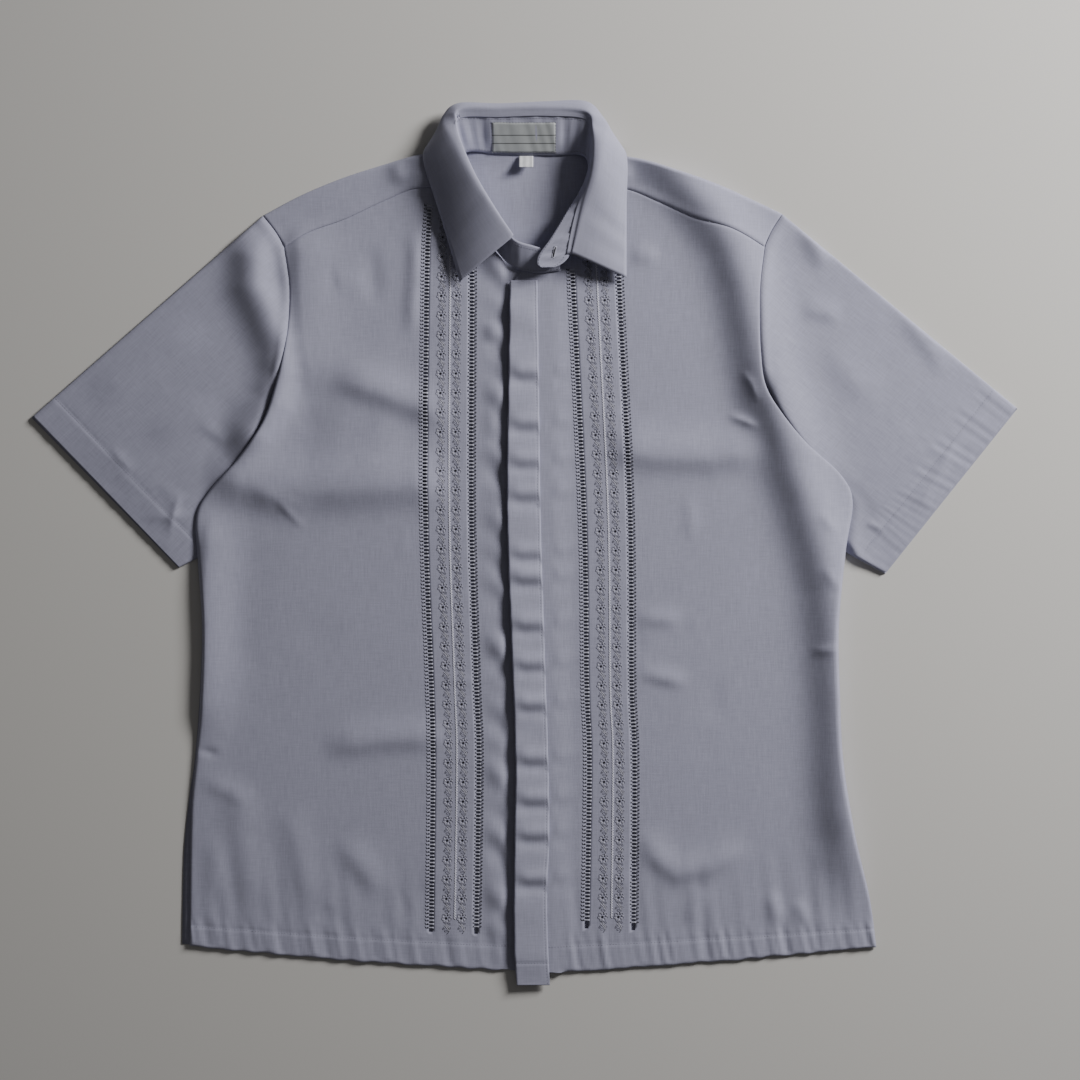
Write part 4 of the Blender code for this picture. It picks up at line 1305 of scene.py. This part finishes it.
class BARONG_OT_placket(bpy.types.Operator):
    """Builds the fly strip over the closing, free on one side and sewn on the other"""

    bl_idname = "barong.placket"
    bl_label = "Fly placket"

    def execute(self, context):
        table = smoothed(PLACKET, 12)[::-1]
        y = np.arange(PLACKET[0].y, PLACKET[-1].y - 0.01, -FINE_CELL)
        y = np.append(y, PLACKET[-1].y)
        free = np.interp(y, table[:, 0], table[:, 1]) + 0.35 * wander(y, 41, 150)
        sewn = np.interp(y, table[:, 0], table[:, 2]) + 0.15 * wander(y, 42, 120)
        near_sewn = (0.9, 0.93, 0.955, 0.975, 0.99, 1)
        shares = shares_of((0, 0.012, 0.035, 0.07, 0.12), (0.18, 0.86, 14), near_sewn)
        x = free[:, None] + (sewn - free)[:, None] * shares
        rows = y[:, None] * np.ones_like(x)
        edge = PLACKET_FREE + 1.1 * wander(y, 43, 150, 6) - 1.6 * ease((y - 212) / 26)
        height = PLACKET_SEWN + (edge[:, None] - PLACKET_SEWN) * (1 - shares) ** 0.8
        for centre in PLACKET_BANDS:
            height += PLACKET_PUCKER * band_wave(y, centre)[:, None] * ease((shares + 0.1) / 0.5)
        height += 0.4 * wander(rows + 0.4 * x, 44, 110, 3)
        width = (sewn - free)[:, None]
        from_sewn, from_free = (1 - shares) * width, shares * width
        height -= 0.25 * bell(from_sewn - STITCH_INSET, 0.7)
        height = PLACKET_LOW + (height - PLACKET_LOW) * turned(from_sewn, 1.3)
        height = height - 0.9 * (1 - turned(from_free, 1.4))
        from_tail = rows - PLACKET[-1].y
        height -= (height - 3.4) * 0.5 * (1 - ease(from_tail / 30))
        height -= 0.4 * bell(from_tail - HEM, 1.2)
        points = np.stack([x, rows, np.maximum(height, PLACKET_LOW)], axis=-1)
        obj = grid_object("fly_placket_cloth", points, material("cloth"), wall=PLACKET_WALL)
        declare(obj, ("fly_placket",))
        sewn_column = int(np.argmin(np.abs(from_sewn[0] - STITCH_INSET)))
        hem_row = int(np.argmin(np.abs(from_tail[:, 0] - HEM)))
        SEAMS["placket_sewn"] = points[:, sewn_column]
        SEAMS["placket_hem"] = points[hem_row, 2:-3]
        SURFACES["fly_placket"] = surface_tree(points)
        return {"FINISHED"}


# ---------------------------------------------------------------- collar


def stand_grid():
    """The band round the neck, with small puckers and the wrinkles of its front end."""
    table = smoothed(STAND, 12)
    shares = np.linspace(0, 1, 14)
    base, top = table[:, None, :3], table[:, None, 3:]
    points = base + (top - base) * shares[None, :, None]
    at = path_lengths(table[:, :3])
    back = ease((70 - np.abs(table[:, 0])) / 20) * ease((table[:, 1] - 345) / 8)
    middle = np.sin(math.pi * shares)[None]
    pucker = 1.1 * wander(at, 51, 34, 5)[:, None] * middle * (0.5 + back[:, None])
    front = ease((300 - table[:, 1]) / 20)[:, None] * ease((table[:, 0] - 5) / 10)[:, None]
    wrinkle = 0.9 * wander(at[:, None] + 15 * shares[None], 52, 24, 5) * middle * front
    points[..., 2] += pucker + wrinkle
    return points


def stand_at_leaf(leaf):
    """The stand's stations beside each of the leaf's."""
    dense = smoothed(STAND, 40)
    gaps = np.linalg.norm(leaf[:, None, :3] - dense[None, :, 3:], axis=-1)
    return dense[np.argmin(gaps, axis=1)]


def leaf_grid():
    """The leaf: from inside the stand, over its top and down to the outer edge."""
    table = smoothed(LEAF, 12)
    top, roll, edge = table[:, 0:3], table[:, 3:6], table[:, 6:9]
    crown = LEAF_CROWN * ease((roll[:, 2] - LEAF_FLAT_ROLL) / LEAF_FLAT_ROLL)
    first, second = roll + (edge - roll) * 0.33, roll + (edge - roll) * 0.67
    first[:, 2] += crown
    second[:, 2] += crown
    stand = stand_at_leaf(table)
    down = stand[:, :3] - stand[:, 3:]
    down /= np.linalg.norm(down, axis=1)[:, None]
    run = np.gradient(stand[:, 3:], axis=0)
    facing = np.cross(down, run)
    facing /= np.linalg.norm(facing, axis=1)[:, None]
    facing *= np.where(facing[:, 2] < 0, -1, 1)[:, None]
    over = stand[:, 3:] + facing * LEAF_STEP
    inner = stand[:, 3:] + down * LEAF_INSIDE + facing * LEAF_STEP
    controls = np.stack([inner, over, top, roll, first, second, edge], axis=1)
    points = np.array([smoothed(section, 5) for section in controls])
    shares = np.linspace(0, 1, points.shape[1])
    outer, off_floor = ease((shares - 0.4) / 0.4)[None], ease((edge[:, 2] - 4) / 4)[:, None]
    points[..., 2] += 0.5 * wander(path_lengths(edge), 53, 90, 5)[:, None] * outer * off_floor
    return points


def buttonhole_shape():
    """A worked buttonhole: two close rows of satin stitches, with the slit between them as a dark sliver of
    painted shade.
    """
    shape = bmesh.new()
    for side in (-1, 1):
        for along_hole in np.arange(-4.2, 4.3, 0.6):
            tube_into(shape, [(side * 0.35, along_hole), (side * 1.5, along_hole + 0.2)], 0.32, 5)
    for end in (-4.9, 4.9):
        tube_into(shape, [(-1.4, end), (1.4, end)], 0.4, 5)
    slash(shape, (0, -4.3), (0, 4.3), 0.42)
    turn = Matrix.Rotation(math.radians(-14), 3, "Z")
    bmesh.ops.rotate(shape, verts=shape.verts, cent=(0, 0, 0), matrix=turn)
    bmesh.ops.translate(shape, verts=shape.verts, vec=STAND_BUTTONHOLE * MM)
    return template("stand_buttonhole", shape, [material("stitching"), material("shade")], piece_collection())


class BARONG_OT_collar(bpy.types.Operator):
    """Builds the collar stand and the leaf that folds over it"""

    bl_idname = "barong.collar"
    bl_label = "Collar"

    def execute(self, context):
        stand_points, leaf_points = stand_grid(), leaf_grid()
        for name, node, points, flat in (
            ("collar_stand_cloth", "collar_stand", stand_points, (0.470, 0.032)),
            ("collar_leaf_cloth", "collar_leaf", leaf_points, (0.480, 0.052)),
        ):
            lengths = np.stack([path_lengths(column) for column in points])
            run = path_lengths(points[:, 0])[:, None] * np.ones_like(lengths)
            grain = np.stack([lengths, run], axis=-1)
            obj = grid_object(name, points, material("collar"), grain=grain, wall=sizes().collar)
            declare(obj, (node,))
        SURFACES["collar_stand"] = surface_tree(stand_points)
        hole = buttonhole_shape()
        drape(hole.data, SURFACES["collar_stand"], BUTTONHOLE_LIFT)
        declare(hole)
        SEAMS["stand_top"] = stand_points[:, -3] + np.array([0, 0, SEAM_LIFT])
        SEAMS["stand_base"] = stand_points[:, 1] + np.array([0, 0, SEAM_LIFT])
        return {"FINISHED"}


# ---------------------------------------------------------------- labels and buttons


class BARONG_OT_labels(bpy.types.Operator):
    """Builds the plain neck label and the blank size tab"""

    bl_idname = "barong.labels"
    bl_label = "Labels"

    def execute(self, context):
        low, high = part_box("brand_label")
        low, high = np.array(low) / MM, np.array(high) / MM
        across = np.linspace(0, 1, 30)
        up = np.linspace(0, 1, 14)
        x = low[0] + (high[0] - low[0]) * across
        y = low[1] + 0.4 + (high[1] - low[1] - 0.8) * up
        x, y = np.meshgrid(x, y, indexing="ij")
        y = y + 0.3 * wander(x, 61, 70, 4)
        stand_height = 3.2 + (y - 354.5) / 37 * 11.3
        z = stand_height + LABEL_LIFT + 0.3 * wander(x + 0.3 * y, 62, 30, 4)
        points = np.stack([x, y, z], axis=-1)
        grain = np.stack([x - low[0], y - low[1]], axis=-1)
        label = grid_object("neck_label_satin", points, material("label"), grain=grain, wall=LABEL_WALL)
        declare(label, ("brand_label",))
        SEAMS["label"] = [points[0], points[-1], points[:, 0], points[:, -1]]
        low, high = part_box("size_tab")
        low, high = np.array(low) / MM, np.array(high) / MM
        x = low[0] + (high[0] - low[0]) * np.linspace(0, 1, 10)
        x, y = np.meshgrid(x, low[1] + (high[1] - low[1]) * up, indexing="ij")
        z = high[2] - 0.6 + (low[2] + 0.6 - high[2] + 0.6) * up[None] ** 0.8 + 0.25 * np.sin(x)
        tab = grid_object("size_tab_tape", np.stack([x, y, z], axis=-1), material("tab"), wall=TAB_WALL)
        declare(tab, ("size_tab",))
        return {"FINISHED"}


def button_shape():
    """A shirt button: dished face, raised rim and four holes."""
    shape = bmesh.new()
    profile = ((0, 0.9), (2.6, 0.9), (3.4, 1.5), (4.6, 1.7), (5.4, 1.2), (5.5, 0.4), (4.6, -0.5), (0, -0.7))
    verts = [shape.verts.new((r * MM, 0, z * MM)) for r, z in profile]
    edges = [shape.edges.new(pair) for pair in zip(verts, verts[1:])]
    whole = verts + edges
    bmesh.ops.spin(shape, geom=whole, cent=(0, 0, 0), axis=(0, 0, 1), angle=2 * math.pi, steps=36)
    bmesh.ops.remove_doubles(shape, verts=shape.verts, dist=0.00001)
    bmesh.ops.recalc_face_normals(shape, faces=shape.faces)
    disc = new_object("button_disc", mesh_of("button", shape))
    holes = bmesh.new()
    for turn in range(4):
        a = math.pi / 4 + turn * math.pi / 2
        place = Matrix.Translation((1.35 * math.cos(a) * MM, 1.35 * math.sin(a) * MM, 0))
        size = {"radius1": 0.65 * MM, "radius2": 0.65 * MM, "depth": 5 * MM}
        bmesh.ops.create_cone(holes, cap_ends=True, segments=12, matrix=place, **size)
    cutter = new_object("button_holes", mesh_of("button_holes", holes))
    cut = disc.modifiers.new("holes", "BOOLEAN")
    cut.object, cut.operation = cutter, "DIFFERENCE"
    result = bpy.data.meshes.new_from_object(disc.evaluated_get(bpy.context.evaluated_depsgraph_get()))
    bpy.data.objects.remove(disc)
    bpy.data.objects.remove(cutter)
    return result


class BARONG_OT_buttons(bpy.types.Operator):
    """Puts a four-hole button in place of each plain one"""

    bl_idname = "barong.buttons"
    bl_label = "Buttons"

    def execute(self, context):
        shape = button_shape()
        flattened = Matrix.Diagonal((1, 1, BUTTON_FLATNESS, 1))
        for node, sunk in BUTTONS.items():
            low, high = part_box(node)
            mesh = shape.copy()
            mesh.transform(Matrix.Translation((low + high) / 2 - Vector((0, 0, sunk * MM))) @ flattened)
            mesh.materials.append(material("button"))
            mesh.set_sharp_from_angle(angle=math.radians(35))
            declare(new_piece(node + "_resin", mesh), (node,))
        bpy.data.meshes.remove(shape)
        return {"FINISHED"}


# ---------------------------------------------------------------- drawn-thread ladders


def rung_shape(width):
    """One bundled rung: a tuft of threads, wide at its ends and tied in at its waist."""
    shape = bmesh.new()
    stations = np.linspace(-0.5, 0.5, 5) * (width + 1.7)
    rings = []
    for at in stations:
        waist = 0.62 + 0.4 * abs(at / stations[-1]) ** 2
        ring = [
            shape.verts.new((at * MM, waist * math.cos(a) * MM, 0.34 * math.sin(a) * MM))
            for a in np.linspace(0, 2 * math.pi, 7)[:-1]
        ]
        rings.append(ring)
    skin(shape, rings)
    return template("rung", shape)


def slash(shape, start, end, width):
    """A narrow pierced opening, drawn as a flat dark sliver of painted shade that lies on the cloth."""
    made = tube_into(shape, [start, end], width, 6, 0.12)
    for face in {face for side in made for edge in side.edges for face in edge.link_faces}:
        # The sliver takes the second material, the painted shade
        face.material_index = 1


def zigzag_shape(pitch):
    """One step of the slanted stitches beside a ladder: two threads, and dark slivers of painted shade for
    the openings they pull.
    """
    shape = bmesh.new()
    tube_into(shape, [(-1.6, -0.46 * pitch), (-0.1, 0.06 * pitch)], 0.3)
    tube_into(shape, [(0.1, 0.06 * pitch), (1.6, -0.46 * pitch)], 0.3)
    slash(shape, (-1.35, -0.1 * pitch), (-0.35, 0.24 * pitch), 0.42)
    slash(shape, (0.45, 0.22 * pitch), (1.45, -0.12 * pitch), 0.36)
    return template("zigzag", shape, [material("thread"), material("shade")])


def ladder_path(ladder, offset=0.0, step=6.0):
    y = np.arange(ladder.top, ladder.bottom, -step)
    return np.stack([ladder_x(ladder, y) + offset, y], axis=-1)


class BARONG_OT_ladders(bpy.types.Operator):
    """Bridges the open slots with bundled rungs and works slanted stitches along their outer sides"""

    bl_idname = "barong.ladders"
    bl_label = "Drawn-thread ladders"

    def execute(self, context):
        width, pitch = sizes().ladder / MM, sizes().rung / MM
        rung, zigzag = rung_shape(width), zigzag_shape(pitch)
        for side, ladders in (("right", (RIGHT_OUTER, RIGHT_INNER)), ("left", (LEFT_OUTER, LEFT_INNER))):
            tree = SURFACES["front_" + side]
            paths = [ladder_path(ladder) for ladder in ladders]
            rungs = repeat(f"ladder_rungs_{side}", paths, rung, pitch * MM, material("stitching"), 0.12)
            drape(rungs.data, tree, RUNG_LIFT)
            beside = [ladder_path(ladder, ladder.outer * (width / 2 + 1.9)) for ladder in ladders]
            # The slanted stitches are in the darkened embroidery thread, which carries painted shade
            thread = material("thread")
            slants = repeat(f"ladder_slants_{side}", beside, zigzag, pitch * MM, thread, 0.05, SEED, False)
            drape(slants.data, tree, SLANT_LIFT)
            for obj in (rungs, slants):
                declare(obj)
        bpy.data.objects.remove(rung)
        bpy.data.objects.remove(zigzag)
        return {"FINISHED"}


# ---------------------------------------------------------------- embroidery


def ring_points(cx, cy, radius, count):
    turns = [2 * math.pi * index / count for index in range(count)]
    return [(cx + radius * math.cos(a), cy + radius * math.sin(a)) for a in turns]


def petal(cx, cy, turn, reach, width, count=9):
    """A teardrop loop that leaves the centre and comes back to it."""
    cos, sin = math.cos(math.radians(turn)), math.sin(math.radians(turn))
    found = []
    for t in np.linspace(0, 1, count):
        out = math.sin(math.pi * t) * reach
        across = math.sin(2 * math.pi * t) * width
        found.append((cx + out * cos - across * sin, cy + out * sin + across * cos))
    return found


def motif_shape(pitch, radius):
    """A rosette of loops round a pierced eyelet, drawn as a dark disc of painted shade on a thread disc, and
    a curling vine that links it to the next one.
    """
    shape = bmesh.new()
    eye = (0.3, 0)
    for turn in range(LOOPS):
        leaf = petal(*eye, 12 + turn * 360 / LOOPS, 4.6, 1.2)
        tube_into(shape, leaf[1:-1], radius, 4)
    vine = [(VINE_SWING * math.sin(2 * math.pi * (t + 0.18)), t * pitch) for t in np.linspace(0.2, 0.8, 16)]
    tube_into(shape, vine, radius * 1.3, 4)
    tube_into(shape, [(x + 1.1, y + 0.9) for x, y in vine[3:12]], radius, 4)
    curls = ((1.8, 4.4, 160, 3.4), (0.2, 7.2, 40, 3.2), (-1.2, 9.4, 195, 2.6), (-1.8, 11.0, 10, 3.6))
    for curl in curls:
        tube_into(shape, petal(*curl, 0.8, 8), radius, 4)
    for x, y, size in ((-2.6, 5.2, 0.75), (2.7, 9.6, 0.8)):
        tube_into(shape, ring_points(x, y, size, 8), radius, 4, closed=True)
    outlines = len(shape.faces)
    # These inner loops and vine threads take the lighter thread, painted highlights among the darker outlines
    for turn in range(LOOPS):
        leaf = petal(*eye, 12 + (turn + 0.5) * 360 / LOOPS, 4.0, 0.6, 6)
        tube_into(shape, leaf[1:-1], radius * 0.9, 4)
    tube_into(shape, [(x + 0.45, y + 0.45) for x, y in vine[1:15:2]], radius, 4)
    tube_into(shape, [(x + 1.7, y + 1.2) for x, y in vine[2:12:2]], radius * 0.9, 4)
    bmesh.ops.recalc_face_normals(shape, faces=shape.faces)
    shape.faces.ensure_lookup_table()
    for face in shape.faces[outlines:]:
        face.material_index = 2
    # A thread disc round the eyelet, and on it a smaller dark disc of painted shade for the hole
    for radius_mm, height, index in ((1.25, 0.34, 0), (0.85, 0.42, 1)):
        disc = bmesh.ops.create_cone(
            shape,
            cap_ends=True,
            segments=10,
            radius1=radius_mm * MM,
            radius2=radius_mm * 0.9 * MM,
            depth=height * MM,
            matrix=Matrix.Translation((eye[0] * MM, 0, height / 2 * MM)),
        )
        for face in {face for vertex in disc["verts"] for face in vertex.link_faces}:
            face.material_index = index
    return template("motif", shape, [material("thread"), material("shade"), material("pale")])


def chain_shape():
    shape = bmesh.new()
    tube_into(shape, [(-0.7, -1.25), (0.7, -0.4), (0.7, 0.5), (-0.7, 1.25)], 0.42, 5, 0.5)
    return template("chain", shape)


def between(first, second, share, y):
    """A line down the band at a share of the way from one ladder to the other."""
    x = ladder_x(first, y) + (ladder_x(second, y) - ladder_x(first, y)) * share
    return np.stack([x, y], axis=-1)


class BARONG_OT_embroidery(bpy.types.Operator):
    """Works two columns of linked rosettes in each band, with a chain stitch between them"""

    bl_idname = "barong.embroidery"
    bl_label = "Embroidery"

    def execute(self, context):
        pitch, radius = sizes().motif / MM, sizes().thread / MM
        shape, chain = motif_shape(pitch, radius), chain_shape()
        for side, (first, second), shares, skipped in (
            ("right", (RIGHT_OUTER, RIGHT_INNER), (0.356, 0.69), (0, 2)),
            ("left", (LEFT_INNER, LEFT_OUTER), (0.356, 0.70), (2, 2)),
        ):
            top = EMBROIDERY_TOP[side]
            y = np.arange(top, EMBROIDERY_BOTTOM, -pitch / 3)
            made = []
            for index, (share, steps_down) in enumerate(zip(shares, skipped)):
                path = between(first, second, share, y[y < top - steps_down * pitch + 1])
                name, seed = f"rosettes_{side}_{index + 1}", SEED + index
                made.append(repeat(name, [path], shape, pitch * MM, material("thread"), 0.04, seed, False))
            middle = between(first, second, sum(shares) / 2 + 0.01, y[y < CHAIN_TOP])
            # The chain stitch is in the lighter thread, a painted highlight
            made.append(repeat(f"chain_{side}", [middle], chain, CHAIN_PITCH, material("pale"), 0.08))
            for obj in made:
                drape(obj.data, SURFACES["front_" + side], MOTIF_LIFT)
                declare(obj)
        for obj in (shape, chain):
            bpy.data.objects.remove(obj)
        return {"FINISHED"}


# ---------------------------------------------------------------- stitches


def stitch_shape(length):
    shape = bmesh.new()
    bmesh.ops.create_icosphere(shape, subdivisions=1, radius=0.5 * MM)
    bmesh.ops.scale(shape, vec=(0.42, length * 0.78, 0.36), verts=shape.verts)
    return template("stitch", shape)


class BARONG_OT_stitches(bpy.types.Operator):
    """Sews the hems, the cuffs, the placket, the collar and the neck label"""

    bl_idname = "barong.stitches"
    bl_label = "Stitches"

    def execute(self, context):
        pitch = sizes().stitch
        stitch = stitch_shape(pitch / MM)
        lift = np.array([0, 0, STITCH_LIFT])
        over_placket = lift * 1.5
        lines = {
            "hem_stitches": [SEAMS["hem_right"][6:-8] + lift, SEAMS["hem_left"][6:-8] + lift],
            "cuff_stitches": [SEAMS["cuff_sleeve_right"] + lift, SEAMS["cuff_sleeve_left"] + lift],
            "placket_stitches": [
                SEAMS["placket_sewn"][1:-2] + over_placket, SEAMS["placket_hem"] + over_placket,
            ],
            "collar_stitches": [SEAMS["stand_top"], SEAMS["stand_base"]],
            "label_stitches": [edge + lift for edge in SEAMS["label"]],
        }
        for name, paths in lines.items():
            # These stitches take the darkened seam thread, painted shade along the sewn rows
            made = repeat(name, paths, stitch, pitch, material("seam"), 0.1)
            declare(made)
        bpy.data.objects.remove(stitch)
        return {"FINISHED"}


# ---------------------------------------------------------------- stage


class BARONG_OT_stage(bpy.types.Operator):
    """Sets the pale floor, the soft light and the overhead camera"""

    bl_idname = "barong.stage"
    bl_label = "Stage"

    def execute(self, context):
        scene = context.scene
        mesh = bpy.data.meshes.new("floor")
        corners = [(x * FLOOR_HALF, y * FLOOR_HALF, 0) for x, y in ((-1, -1), (1, -1), (1, 1), (-1, 1))]
        mesh.from_pydata(corners, [], [(0, 1, 2, 3)])
        mesh.materials.append(material("floor"))
        floor = new_object("floor", mesh)
        floor.location.z = FLOOR_DROP
        key = bpy.data.lights.new("key", "AREA")
        key.shape, key.size, key.energy, key.color = "DISK", KEY_SIZE, KEY_ENERGY, KEY_COLOUR
        lamp = new_object("key", key)
        lamp.location = KEY_PLACE
        lamp.rotation_euler = (-lamp.location).to_track_quat("-Z", "Y").to_euler()
        scene.world = scene.world or bpy.data.worlds.new("studio")
        scene.world.use_nodes = True
        sky = scene.world.node_tree.nodes["Background"].inputs
        sky["Color"].default_value = (*SKY_COLOUR, 1)
        sky["Strength"].default_value = SKY_STRENGTH
        eye = bpy.data.cameras.new("overhead")
        eye.sensor_width = 36
        eye.lens = CAMERA_HEIGHT * eye.sensor_width / CAMERA_SPAN
        scene.camera = new_object("overhead", eye)
        scene.camera.location = (*CAMERA_OVER, CAMERA_HEIGHT)
        return {"FINISHED"}


OPERATORS = (
    BARONG_OT_stage,
    BARONG_OT_fronts,
    BARONG_OT_yoke_and_back,
    BARONG_OT_sleeves,
    BARONG_OT_placket,
    BARONG_OT_collar,
    BARONG_OT_labels,
    BARONG_OT_buttons,
    BARONG_OT_ladders,
    BARONG_OT_embroidery,
    BARONG_OT_stitches,
)


class BARONG_PT_shirt(bpy.types.Panel):
    """Lists the shirt's settings and its pieces"""

    bl_label = "Barong Tagalog Shirt"
    bl_idname = "BARONG_PT_shirt"
    bl_space_type = "VIEW_3D"
    bl_region_type = "UI"
    bl_category = "Barong"

    def draw(self, context):
        layout = self.layout
        for group in (context.scene.barong_sizes, context.scene.barong_colours):
            for name in group.__annotations__:
                layout.prop(group, name)
        for operator in OPERATORS:
            layout.operator(operator.bl_idname)


CLASSES = (BarongSizes, BarongColours, *OPERATORS, BARONG_PT_shirt)


def register():
    for made in CLASSES:
        bpy.utils.register_class(made)
    bpy.types.Scene.barong_sizes = bpy.props.PointerProperty(type=BarongSizes)
    bpy.types.Scene.barong_colours = bpy.props.PointerProperty(type=BarongColours)


def unregister():
    del bpy.types.Scene.barong_sizes
    del bpy.types.Scene.barong_colours
    for made in reversed(CLASSES):
        bpy.utils.unregister_class(made)


def main():
    register()
    for operator in OPERATORS:
        group, name = operator.bl_idname.split(".")
        getattr(getattr(bpy.ops, group), name)()


if __name__ == "__main__":
    main()
